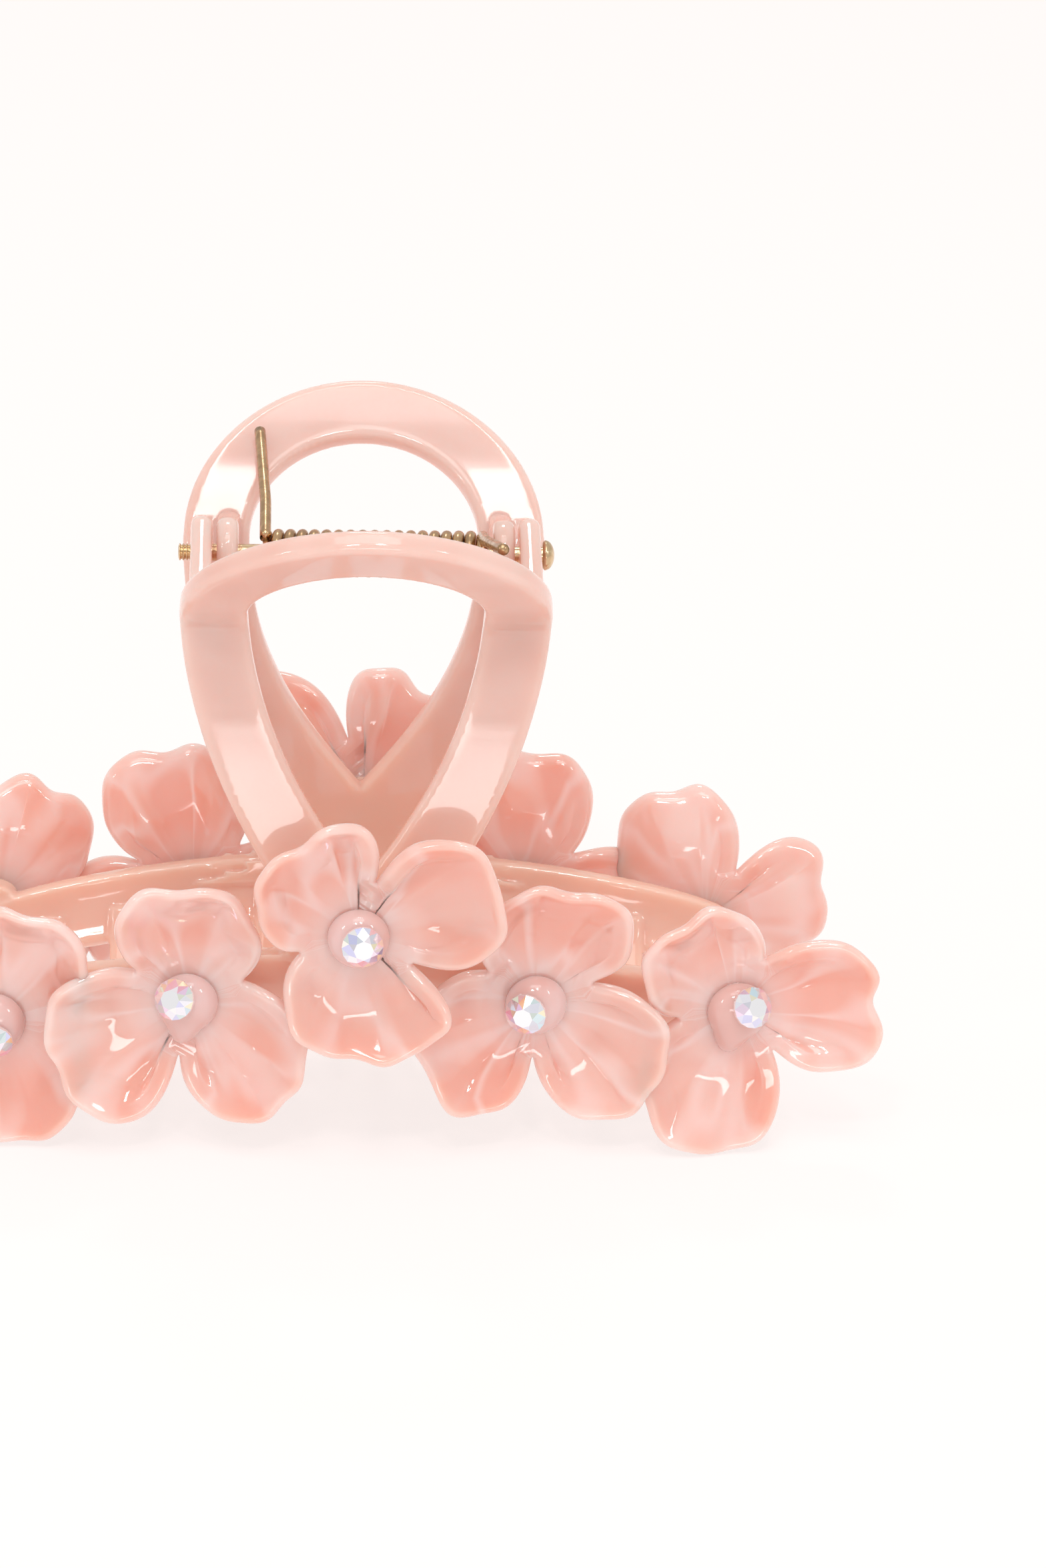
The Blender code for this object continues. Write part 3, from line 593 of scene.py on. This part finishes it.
def bandPoint(across, down):
    # the band's middle surface: its lean grows evenly down its section
    fine = np.linspace(0, band["height"], 200)
    lean = np.radians(band["lean"][0] + (band["lean"][1] - band["lean"][0]) * fine / band["height"])
    step = fine[1] - fine[0]
    inwards, below = np.cumsum(np.sin(lean)) * step, np.cumsum(np.cos(lean)) * step
    share = (np.asarray(across) / band["halfLength"]) ** 2
    topOut = band["topOut"] - band["bow"] * share
    topUp = -band["topBelow"] - band["drop"] * share
    return (
        topOut - np.interp(down, fine, inwards),
        topUp - np.interp(down, fine, below),
        np.interp(down, fine, lean),
    )


def bandPart():
    # the rounded section carried along the band; its ends close in height and thickness
    place = np.sin(np.linspace(-1, 1, 181) * math.pi / 2)
    across = band["halfLength"] * place
    share = np.sqrt(np.maximum(1 - np.abs(place) ** band["endRounding"], band["endLeast"]))[:, None]
    section = cornered(band["thickness"], band["edgeRadius"], 6, 12)
    down = section[:, 1] * band["edgeRadius"] + section[:, 0] * band["height"]
    down = band["height"] / 2 + (down - band["height"] / 2) * share
    out, up, lean = bandPoint(across[:, None], down)
    offset = section[:, 2] * share
    points = jawPoints(across[:, None], out + offset * np.cos(lean), up - offset * np.sin(lean))
    return closedPart(points)


def toothPart(across):
    # a tapering rounded bar along a curve from its pad to its tip
    root = np.linspace(teeth["padDrop"], band["height"], 8)
    out, up, lean = bandPoint(across, root)
    out, up = out - teeth["padRise"] * np.cos(lean), up + teeth["padRise"] * np.sin(lean)
    tip = np.array((-teeth["tipPast"], -teeth["tipBelow"]))
    start = np.array((out[-1], up[-1]))
    reach = np.linalg.norm(tip - start)
    startPull = start - teeth["rootPull"] * reach * np.array((math.sin(lean[-1]), math.cos(lean[-1])))
    tipTurn = np.array((math.sin(teeth["tipLean"]), math.cos(teeth["tipLean"])))
    tipPull = tip + teeth["tipPull"] * reach * tipTurn
    t = np.linspace(0, 1, 25)[1:, None]
    curve = (1 - t) ** 3 * start + 3 * (1 - t) ** 2 * t * startPull
    curve = curve + 3 * (1 - t) * t**2 * tipPull + t**3 * tip
    path = evenly(np.concatenate([np.stack([out, up], -1), curve]), 48)
    run = np.gradient(path, axis=0)
    run /= np.linalg.norm(run, axis=1)[:, None]
    share = np.linspace(0, 1, len(path))
    # the ends round off
    fromEnd = np.minimum(share, 1 - share) / teeth["endShare"]
    close = np.sqrt(np.clip(1 - (1 - fromEnd).clip(0) ** 2, 0.02, 1))
    width = (teeth["width"] + (teeth["tipWidth"] - teeth["width"]) * share ** teeth["taperPower"]) * close
    thick = teeth["thickness"] * (1 - teeth["thinning"] * share) * close
    angles = np.linspace(0, 2 * math.pi, 28, endpoint=False)
    rounded = lambda v: np.sign(v) * np.abs(v) ** teeth["squareness"]
    side = rounded(np.cos(angles)) * width[:, None] / 2
    offset = rounded(np.sin(angles)) * thick[:, None] / 2
    points = jawPoints(across + side, path[:, :1] - offset * run[:, 1:], path[:, 1:] + offset * run[:, :1])
    return closedPart(points)


def earPart(innerFace, side):
    # the lug's outline, drawn in at both faces by a quarter round
    radius = ears["radius"]
    angles = np.linspace(-math.pi / 2, math.pi / 2, 33)
    rim = np.stack([-radius * np.cos(angles), radius * np.sin(angles)], -1)
    outline = evenly(np.concatenate([rim, ears["foot"], rim[:1]]), 121)[:-1]
    a = np.linspace(0, math.pi / 2, 6)
    drawIn = ears["edgeRadius"] * (1 - np.sin(a))
    depth = ears["edgeRadius"] * (1 - np.cos(a))
    innermost = 3.0 * mm  # the faces' middles close from here
    drawIn = np.concatenate([[innermost], drawIn, drawIn[::-1], [innermost]])
    depth = np.concatenate([[0], depth, ears["thickness"] - depth[::-1], [ears["thickness"]]])
    away = outline - np.array(ears["centre"])
    away /= np.linalg.norm(away, axis=1)[:, None]
    shape = outline[None] - away[None] * drawIn[:, None, None]
    x = side * (innerFace + depth)[:, None]
    points = jawPoints(x, shape[..., 0], shape[..., 1])
    return closedPart(points)


def roundBar(radius, start, end, across, up):
    # a straight round bar along Y
    angles = np.linspace(0, 2 * math.pi, 40, endpoint=False)
    out = np.array((start, end))[:, None]
    points = jawPoints(across + radius * np.cos(angles), out, up + radius * np.sin(angles))
    return closedPart(points)


def jawMatrix(letter):
    lift = Matrix.Translation((0, 0, hingeUp))
    return lift if letter == "f" else lift @ Matrix.Rotation(math.pi, 4, "Z")


# Flowers. Distances are in mm: place along the band, height over the hinge axis, stand-off and turn
# of the face. A petal is its direction, reach and half-width.
blossom = {
    "petalThickness": 1.8,
    "cup": 21.0,
    "flatRadius": 5.2,
    "notchRadius": 6.0,
    "pinwheel": 0.35,
    "sideSlope": 1.25,
    "tipDip": 0.8,
    "edgeWave": 0.34,
    "bossRadius": 2.5,
    "bossLength": 1.5,
    "gap": 0.3,
    "domeRadius": 3.3,
    "domeHeight": 2.5,
    "domeTail": 1.5,
    "rimRoll": 0.24,
    "rimRollAt": 0.7,
    "rimRollWidth": 0.5,
    "tipWidth": 0.16,
    "streakLength": 0.42,
    "hollow": 0.4,
    "fold": 0.26,
    "ruffle": 0.3,
    "flowers": (
        (-38.8, -47.7, 0.0, -6.0, ((71, 15.2, 5.8), (170, 14.2, 6.9), (288, 14.15, 6.1)), (16, 280), None),
        (-18.4, -44.4, 0.0, -3.0, ((90, 14.8, 7.6), (209, 16.0, 8.2), (314, 15.4, 7.0)), (28, 130), 262),
        (-0.5, -35.3, 2.0, 0.0, ((27, 17.0, 7.6), (121, 13.7, 7.2), (274, 14.0, 8.4)), (7, 40), None),
        (18.4, -44.4, 0.0, 3.0, ((75, 15.2, 7.8), (214, 14.6, 7.4), (323, 16.0, 7.6)), (20, 175), None),
        (40.0, -45.8, 0.0, 6.0, ((5, 15.5, 7.9), (122, 13.9, 6.8), (254, 16.5, 6.5)), (28, 54), 255),
    ),
}


def bandFace(across, level):
    # how far out the band's or the stem's outer face is at a level
    fine = np.linspace(0, band["height"], 60)
    out, up, lean = bandPoint(across, fine)
    faceOut, faceUp = out + band["thickness"] / 2 * np.cos(lean), up - band["thickness"] / 2 * np.sin(lean)
    if level > faceUp[0]:
        out, up, lean = platePoint(np.linspace(-45 * mm, -20 * mm, 200))
        return float(np.interp(level, up, out)) + plate["thickness"] / 2
    return float(np.interp(-level, -faceUp, faceOut))


def flowerSeat(flower):
    along, level, proud = (v * mm for v in flower[:3])
    return bandFace(along, level) + blossom["bossLength"] * mm + proud


def flowerMatrix(flower):
    # from the flower's own frame, +Z its face and +Y its top, to the jaw frame
    hub = flowerSeat(flower) + (blossom["gap"] + blossom["petalThickness"] / 2) * mm
    place = Matrix.Translation((flower[0] * mm, -hub, flower[1] * mm))
    turn = Matrix.Rotation(math.radians(flower[3]), 4, "Z")
    return place @ turn @ Matrix.Rotation(math.pi / 2, 4, "X")


def petalOutline(petals, steps):
    # seen from the middle, a petal's radius falls from its reach to the notch's radius as a power of
    # the angle; the power makes it as wide as it should be. Its tip dips and its edge waves
    rows, marks = [], []
    directions = [math.radians(p[0]) for p in petals]
    notch = blossom["notchRadius"]
    for index, (_, reach, halfWidth) in enumerate(petals):
        here = directions[index]
        after = (directions[(index + 1) % 3] - here) % (2 * math.pi) / 2
        before = (here - directions[index - 1]) % (2 * math.pi) / 2
        angle = np.linspace(-before, after, 600)
        room = np.where(angle > 0, after, before)
        wideAngle = math.atan2(halfWidth, reach - halfWidth)
        wideRadius = math.hypot(halfWidth, reach - halfWidth)
        fall = ((wideRadius - notch) / (reach - notch)) ** blossom["sideSlope"]
        power = np.log(1 - fall) / np.log(np.minimum(wideAngle / room, 0.93))
        power = np.clip(power, 1.7, 9.0)
        share = np.abs(angle) / room
        rise = np.maximum(1 - share**power, 0) ** (1 / blossom["sideSlope"])
        radius = notch + (reach - notch) * rise
        radius = radius - blossom["tipDip"] * np.exp(-((angle / blossom["tipWidth"]) ** 2))
        radius = radius + blossom["edgeWave"] * rise * np.cos(8.5 * angle + 1.9 * index + reach)
        radius = radius + 0.5 * blossom["edgeWave"] * rise * np.sin(17.0 * angle + 2.7 * reach)
        points = np.stack([radius * np.cos(here + angle), radius * np.sin(here + angle)], -1)
        points = evenly(points, steps + 1)[:-1]
        rows.append(points)
        turned = (np.arctan2(points[:, 1], points[:, 0]) - here + math.pi) % (2 * math.pi) - math.pi
        side = np.where(turned > 0, after, before)
        marks.append(np.stack([np.full(steps, float(index)), 2.6 * turned / side], -1))
    edge = np.concatenate(rows)
    for _ in range(8):
        edge = (np.roll(edge, 1, axis=0) + 2 * edge + np.roll(edge, -1, axis=0)) / 4
    return edge, np.concatenate(marks)


def flowerPart(petals, seed):
    # the outline moved in along its own normals, then drawn to the middle; its height is a cup with
    # a rolled rim, a hollow in each petal and ruffles near the edge
    edge, marks = petalOutline(petals, 110)
    ring = np.roll(edge, -1, axis=0) - np.roll(edge, 1, axis=0)
    for _ in range(3):
        ring = (np.roll(ring, 1, axis=0) + 2 * ring + np.roll(ring, -1, axis=0)) / 4
    inward = np.stack([-ring[:, 1], ring[:, 0]], -1)
    inward /= np.linalg.norm(inward, axis=1)[:, None]
    half = blossom["petalThickness"] / 2
    turn = np.linspace(0, math.pi / 2, 8)
    inset = np.concatenate([half * (1 - np.cos(turn)), [1.2, 1.6, 2.0]])
    lift = np.concatenate([half * np.sin(turn), [half] * 3])
    rows = [edge + inward * d for d in inset]
    inner = rows[-1]
    shares = np.linspace(1, 0.04, 22)[1:]
    rows += [inner * v for v in shares]
    flat = np.stack(rows)
    radius = np.linalg.norm(flat, axis=2)
    outer = np.linalg.norm(edge, axis=1)
    nearRim = np.broadcast_to(inset[:, None], (len(inset), len(edge)))
    rimDistance = np.concatenate([nearRim, inset[-1] + np.linalg.norm(inner, axis=1) * (1 - shares[:, None])])
    lift = np.concatenate([lift, np.full(len(shares), half)])[:, None]
    share = np.clip(radius / outer, 0, 1)
    cup = math.tan(math.radians(blossom["cup"])) * np.maximum(radius - blossom["flatRadius"], 0)
    cup = cup * (0.4 + 0.6 * share**2)
    index, bulge = marks[:, 0], marks[:, 1]
    outwards = np.clip((radius - blossom["flatRadius"] - 0.4) / 3.0, 0, 1)
    outwards = outwards**2 * (3 - 2 * outwards)
    ruffle = blossom["ruffle"] * np.sin(4 * bulge + 1.7 * index + seed) * outwards
    ruffle = ruffle * np.exp(-rimDistance / 2.2)
    wander = 0.65 + 0.35 * np.sin(3 * bulge + 2.3 * index + 5 * seed)
    rolled = np.exp(-(((rimDistance - blossom["rimRollAt"]) / blossom["rimRollWidth"]) ** 2))
    roll = blossom["rimRoll"] * wander * rolled * outwards
    hollow = -blossom["hollow"] * np.clip((rimDistance - 1.2) / 2.6, 0, 1) ** 1.5 * outwards
    # soft folds run from the middle to the edge
    folds = blossom["fold"] * np.sin(2.6 * bulge + 1.3 * seed + 2 * index + 0.25 * radius)
    hollow = hollow + folds * np.clip((rimDistance - 0.8) / 2.5, 0, 1) * outwards
    # each petal's one side lies a little over its neighbour
    cup = cup + blossom["pinwheel"] * np.sin(bulge / 2) * outwards
    front = cup + ruffle + lift + (roll + hollow) * np.clip(lift / half, 0, 1)
    back = cup + ruffle - lift + 0.35 * hollow
    height = np.concatenate([front[::-1], back[1:]])
    flat = np.concatenate([flat[::-1], flat[1:]])
    rim = np.concatenate([rimDistance[::-1], rimDistance[1:]])
    points = np.concatenate([flat, height[..., None]], -1)
    ends = np.array([(0, 0, front[-1].mean()), (0, 0, back[-1].mean())])
    # the marbling is drawn out along the petal, and differs from petal to petal
    hub = np.linalg.norm(flat, axis=2)
    drawnOut = np.broadcast_arrays(blossom["streakLength"] * hub, 4.2 * bulge, index * 40 + seed * 300)
    marks = {"rimDistance": rim[..., None], "hubDistance": hub[..., None]}
    return closedPart(points * mm, ends=ends * mm, petalPlace=np.stack(drawnOut, -1), **marks)


def domePart(tail):
    # a round cap whose side runs out to a point; its foot is turned in
    angles = np.linspace(0, 2 * math.pi, 72, endpoint=False)
    offTail = (angles - math.radians(tail or 0) + math.pi) % (2 * math.pi) - math.pi
    reach = blossom["domeRadius"] + (blossom["domeTail"] if tail else 0) * np.exp(-((offTail / 0.42) ** 2))
    rise = np.linspace(0, math.pi / 2, 20)[:-1, None]
    radius = reach * np.cos(rise)
    height = blossom["domeHeight"] * np.sin(rise) * np.ones(72)
    points = np.stack([radius * np.cos(angles), radius * np.sin(angles), height], -1)
    return closedPart(points * mm, ends=np.array([(0, 0, 0), (0, 0, blossom["domeHeight"])]) * mm)


stoneCut = {
    "radius": 2.2,
    "girdle": 0.35,
    "height": 1.5,
    "tableRadius": 1.05,
    "middleRadius": 1.62,
    "middleHeight": 0.98,
}


def addStone(name, place, seed):
    # flat back, thin girdle, then kites and stars up to an eight-sided table
    cut = stoneCut
    ring = lambda radius, height, count, shift=0.0: [
        (
            radius * math.cos(2 * math.pi * (k + shift) / count),
            radius * math.sin(2 * math.pi * (k + shift) / count),
            height,
        )
        for k in range(count)
    ]
    points = ring(cut["radius"], 0, 16) + ring(cut["radius"], cut["girdle"], 16)
    points += ring(cut["middleRadius"], cut["middleHeight"], 8, 0.5)
    points += ring(cut["tableRadius"], cut["height"], 8)
    back, rim, middle, table = 0, 16, 32, 40
    faces = [tuple(range(15, -1, -1)), tuple(range(table, table + 8))]
    tones = [0.66, 0.0]
    random = np.random.default_rng(seed)
    for k in range(16):
        n = (k + 1) % 16
        faces.append((back + k, back + n, rim + n, rim + k))
        tones.append(0.66)
    for k in range(8):
        n, p = (k + 1) % 8, (k - 1) % 8
        faces.append((table + k, middle + k, table + n))
        faces.append((rim + 2 * k, middle + k, table + k, middle + p))
        faces.append((rim + 2 * k, rim + 2 * k + 1, middle + k))
        faces.append((rim + 2 * k + 1, rim + (2 * k + 2) % 16, middle + k))
        tones += list(random.random(4))
    mesh = bpy.data.meshes.new(name)
    mesh.from_pydata(points, [], faces)
    mesh.transform(Matrix.Scale(mm, 4))
    mesh.transform(place)
    tone = mesh.attributes.new("facetTone", "FLOAT", "FACE")
    tone.data.foreach_set("value", tones)
    mesh.materials.append(crystalMaterial)
    obj = bpy.data.objects.new(name, mesh)
    bpy.context.scene.collection.objects.link(obj)
    return obj


def stoneMatrix(flower):
    # the stone lies on the dome, leaning off its top
    lean, towards = (math.radians(v) for v in flower[5])
    leanTurn = Matrix.Rotation(lean, 4, Vector((-math.sin(towards), math.cos(towards), 0)))
    domeBase = (blossom["petalThickness"] / 2 + blossom["gap"]) * mm
    radius, height = blossom["domeRadius"] * mm, blossom["domeHeight"] * mm
    ball = (radius**2 + height**2) / (2 * height)
    below = Matrix.Translation((0, 0, domeBase + height - ball))
    return below @ leanTurn @ Matrix.Translation((0, 0, ball + blossom["gap"] * mm))


def mouldedTogether(name, parts, place):
    # one skin round all the parts, with a small fillet where they meet
    obj = addPiece(name, parts, jawMaterial, place)
    skin = obj.modifiers.new("skin", "REMESH")
    skin.mode = "VOXEL"
    skin.voxel_size = plate["skinStep"]
    skin.use_smooth_shade = True
    even = obj.modifiers.new("even", "SMOOTH")
    even.factor, even.iterations = 0.5, 4
    bpy.context.view_layer.update()
    mesh = bpy.data.meshes.new_from_object(obj.evaluated_get(bpy.context.evaluated_depsgraph_get()))
    obj.modifiers.clear()
    obj.data = mesh
    return obj


def addJaw(letter, body):
    front = letter == "f"
    parts = [loopPart(), bandPart()]
    first = -(teeth["count"] / 2) * teeth["pitch"] + teeth["pitch"] / 4
    parts += [toothPart(first + n * teeth["pitch"]) for n in range(teeth["count"])]
    parts += [earPart(ears["outerFace"] if front else ears["innerFace"], side) for side in (-1, 1)]
    for flower in blossom["flowers"]:
        end = flowerSeat(flower)
        start = end - (blossom["bossLength"] + flower[2] + 1.2) * mm
        parts.append(roundBar(blossom["bossRadius"] * mm, start, end, flower[0] * mm, flower[1] * mm))
    name = "frontJawMoulding" if front else "backJawMoulding"
    obj = mouldedTogether(name, parts, jawMatrix(letter))
    settle(obj, body, body)
    print(body, "moulding", len(obj.data.polygons), "faces")


def addFlowers(letter, body):
    for number, flower in enumerate(blossom["flowers"], 1):
        code, label = f"{letter}{number}", f"{letter.upper()}{number}"
        seed = number + (0 if letter == "f" else 5)
        place = jawMatrix(letter) @ flowerMatrix(flower)
        petals = addPiece(f"petals{label}", [flowerPart(flower[4], seed)], petalMaterial, place)
        settle(petals, body, f"flower_{code}")
        lift = Matrix.Translation((0, 0, (blossom["petalThickness"] / 2 + blossom["gap"]) * mm))
        dome = addPiece(f"centre{label}", [domePart(flower[6])], domeMaterial, place @ lift)
        settle(dome, body, f"dome_{code}")
        stone = addStone(f"gem{label}", place @ stoneMatrix(flower), 7 * seed)
        settle(stone, body, f"stone_{code}")
    print(body, "flowers made")


addJaw("f", "front_jaw")
addJaw("b", "back_jaw")
addFlowers("f", "front_jaw")
addFlowers("b", "back_jaw")


# Hinge pin and spring

pin = {
    "radius": 0.9 * mm,
    "headRadius": 1.6 * mm,
    "headThickness": 1.25 * mm,
    "tail": 1.3 * mm,
    "grooves": 3,
    "reach": 18.45 * mm,
    "headGap": 0.3 * mm,
}
spring = {
    "wireRadius": 0.6 * mm,
    "coilRadius": 1.95 * mm,
    "pitch": 1.27 * mm,
    "turns": 18,
    "shift": 0.9 * mm,
    "tipAlong": 12.2 * mm,
    "backTip": -0.7 * mm,
    "frontTip": 1.4 * mm,
}


def addPin():
    # a profile of places and radii turned about X
    left, right = -(pin["reach"] + pin["tail"]), pin["reach"] + pin["headGap"]
    radius, head = pin["radius"], pin["headRadius"]
    profile = [(left, 0.2 * radius), (left, 0.7 * radius), (left + 0.06 * mm, 0.82 * radius)]
    pitch = pin["tail"] / (pin["grooves"] + 0.5)
    a = np.linspace(0, 2 * math.pi * pin["grooves"], 16 * pin["grooves"])
    x = left + 0.1 * mm + a / (2 * math.pi) * pitch
    profile += list(zip(x, radius * (0.92 - 0.09 * np.cos(a + 2.2))))
    profile += [(left + pin["tail"], radius), (right - 0.01 * mm, radius)]
    profile += [(right, radius), (right, 0.86 * head)]
    a = np.linspace(0.0, math.pi / 2, 16)[:-1]
    profile += list(zip(right + 0.25 * mm + (pin["headThickness"] - 0.25 * mm) * np.sin(a), head * np.cos(a)))
    profile = np.array(profile)
    angles = np.linspace(0, 2 * math.pi, 48, endpoint=False)
    x, radii = profile[:, :1], profile[:, 1:]
    points = np.stack(np.broadcast_arrays(x, radii * np.cos(angles), radii * np.sin(angles)), -1)
    obj = addPiece("hingePin", [closedPart(points)], goldMaterial, Matrix.Translation((0, 0, hingeUp)))
    settle(obj, "front_jaw", "hinge_pin")


def addSpring():
    # a round wire carried along a helix with two straight legs
    radius = spring["coilRadius"]
    out, up, lean = platePoint(spring["tipAlong"])
    back = plate["thickness"] / 2 + 0.3 * mm + spring["wireRadius"]
    out, up = out - back * math.cos(lean), up + back * math.sin(lean)
    start = math.pi / 2 - math.asin(radius / math.hypot(out, up)) + math.atan2(up, out)
    turns = spring["turns"] + (2 * start - math.pi) / (2 * math.pi)
    half = turns * spring["pitch"] / 2
    angles = np.linspace(start, start - 2 * math.pi * turns, round(turns * 28) + 1)
    x = spring["shift"] - half + spring["pitch"] * (start - angles) / (2 * math.pi)
    coil = np.stack([x, radius * np.cos(angles), radius * np.sin(angles)], -1)
    backTip = np.array((coil[0, 0] + spring["backTip"], out, up))
    frontTip = np.array((coil[-1, 0] + spring["frontTip"], -out, up))
    share = np.linspace(1, 0, 24)[:-1]
    # the legs go sideways only past the ears
    share = np.stack([np.clip((share - 0.33) / 0.67, 0, 1), share, share], -1)
    backLeg = coil[0] + (backTip - coil[0]) * share
    frontLeg = coil[-1] + (frontTip - coil[-1]) * share[::-1]
    path = np.concatenate([backLeg, coil, frontLeg])
    run = np.gradient(path, axis=0)
    run /= np.linalg.norm(run, axis=1)[:, None]
    first = np.cross(run, (1.0, 0.13, 0.07))
    first /= np.linalg.norm(first, axis=1)[:, None]
    second = np.cross(run, first)
    angles = np.linspace(0, 2 * math.pi, 16, endpoint=False)[:, None]
    circle = np.cos(angles) * first[:, None] + np.sin(angles) * second[:, None]
    points = path[:, None] + spring["wireRadius"] * circle
    obj = addPiece("torsionSpring", [closedPart(points)], wireMaterial, Matrix.Translation((0, 0, hingeUp)))
    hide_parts("torsion_spring")
    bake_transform(obj)


addPin()
addSpring()
print("pin and spring made")


# Floor, light and camera

studio = {
    "floorSize": 3.0,
    "floorColour": (0.30, 0.25, 0.24),
    "floorGlow": 0.73,
    "skyColour": (0.995, 0.985, 0.97),
    "skyStrength": 0.75,
    "wallStrength": 0.985,
    # name, direction round from the front and up in degrees, distance, width, height, power
    "softboxes": (
        ("frontTopLight", -14.0, 52.0, 0.9, 0.10, 0.08, 0.8),
        ("frontTopRightLight", 12.0, 56.0, 0.9, 0.08, 0.10, 0.7),
        ("overheadLight", 0.0, 82.0, 0.9, 0.34, 0.03, 0.4),
        ("broadOverheadLight", 0.0, 70.0, 0.95, 0.6, 0.24, 1.1),
        ("rightLight", 55.0, 35.0, 0.9, 0.07, 0.16, 0.4),
        ("leftLight", -60.0, 30.0, 0.9, 0.07, 0.16, 0.35),
        ("backTopLight", 180.0, 55.0, 0.9, 0.16, 0.10, 0.6),
        ("lowFrontLight", 0.0, 6.0, 1.1, 0.7, 0.12, 1.3),
    ),
    "azimuth": -1.0,
    "elevation": 20.0,
    "distance": 0.575,
    "panRight": 1.66,
    "panDown": 2.43,
    "roll": 0.9,
    "lens": 186.9,
}


def makeStudio():
    size = studio["floorSize"]
    grid = np.linspace(-size, size, 3)
    points = [(x, y, 0) for y in grid for x in grid]
    faces = [(a, a + 1, a + 4, a + 3) for a in (0, 1, 3, 4)]
    mesh = bpy.data.meshes.new("paleFloor")
    mesh.from_pydata(points, [], faces)
    floor = bpy.data.objects.new("paleFloor", mesh)
    bpy.context.scene.collection.objects.link(floor)
    material, tree, shader = nodesOf("paleFloorPaint")
    setShader(shader, {"Base Color": (*studio["floorColour"], 1), "Roughness": 0.9})
    setShader(shader, {"Specular IOR Level": 0.0, "Emission Color": (1, 0.985, 0.975, 1)})
    setShader(shader, {"Emission Strength": studio["floorGlow"]})
    mesh.materials.append(material)
    world = bpy.data.worlds.new("whiteStudio")
    world.use_nodes = True
    sky = world.node_tree.nodes["Background"]
    sky.inputs["Color"].default_value = (*studio["skyColour"], 1)
    # the wall seen directly is brighter than the light it gives
    ray = world.node_tree.nodes.new("ShaderNodeLightPath")
    seen = world.node_tree.nodes.new("ShaderNodeMapRange")
    seen.inputs["To Min"].default_value = studio["skyStrength"]
    seen.inputs["To Max"].default_value = studio["wallStrength"]
    world.node_tree.links.new(ray.outputs["Is Camera Ray"], seen.inputs["Value"])
    world.node_tree.links.new(seen.outputs[0], sky.inputs["Strength"])
    bpy.context.scene.world = world
    for name, around, above, distance, width, height, power in studio["softboxes"]:
        light = bpy.data.lights.new(name, "AREA")
        light.shape = "RECTANGLE"
        light.size, light.size_y, light.energy = width, height, power
        lamp = bpy.data.objects.new(name, light)
        a, e = math.radians(around), math.radians(above)
        away = Vector((math.sin(a) * math.cos(e), -math.cos(a) * math.cos(e), math.sin(e)))
        lamp.location = Vector((0, 0, 0.03)) + away * distance
        lamp.rotation_euler = away.to_track_quat("Z", "Y").to_euler()
        bpy.context.scene.collection.objects.link(lamp)
    camera = bpy.data.cameras.new("studioCamera")
    camera.sensor_fit = "HORIZONTAL"
    camera.sensor_width = 36.0
    camera.lens = studio["lens"]
    camera.clip_start = 0.01
    viewer = bpy.data.objects.new("studioCamera", camera)
    a, e = math.radians(studio["azimuth"]), math.radians(studio["elevation"])
    away = Vector((math.sin(a) * math.cos(e), -math.cos(a) * math.cos(e), math.sin(e)))
    pose = Matrix.Translation(Vector((0, 0, hingeUp)) + away * studio["distance"])
    pose = pose @ Matrix.Rotation(a, 4, "Z") @ Matrix.Rotation(math.pi / 2 - e, 4, "X")
    pose = pose @ Matrix.Rotation(math.radians(studio["roll"]), 4, "Z")
    pose = pose @ Matrix.Rotation(-math.radians(studio["panRight"]), 4, "Y")
    pose = pose @ Matrix.Rotation(-math.radians(studio["panDown"]), 4, "X")
    viewer.matrix_world = pose
    bpy.context.scene.collection.objects.link(viewer)
    bpy.context.scene.camera = viewer
    bpy.context.scene.view_settings.view_transform = "Standard"


makeStudio()
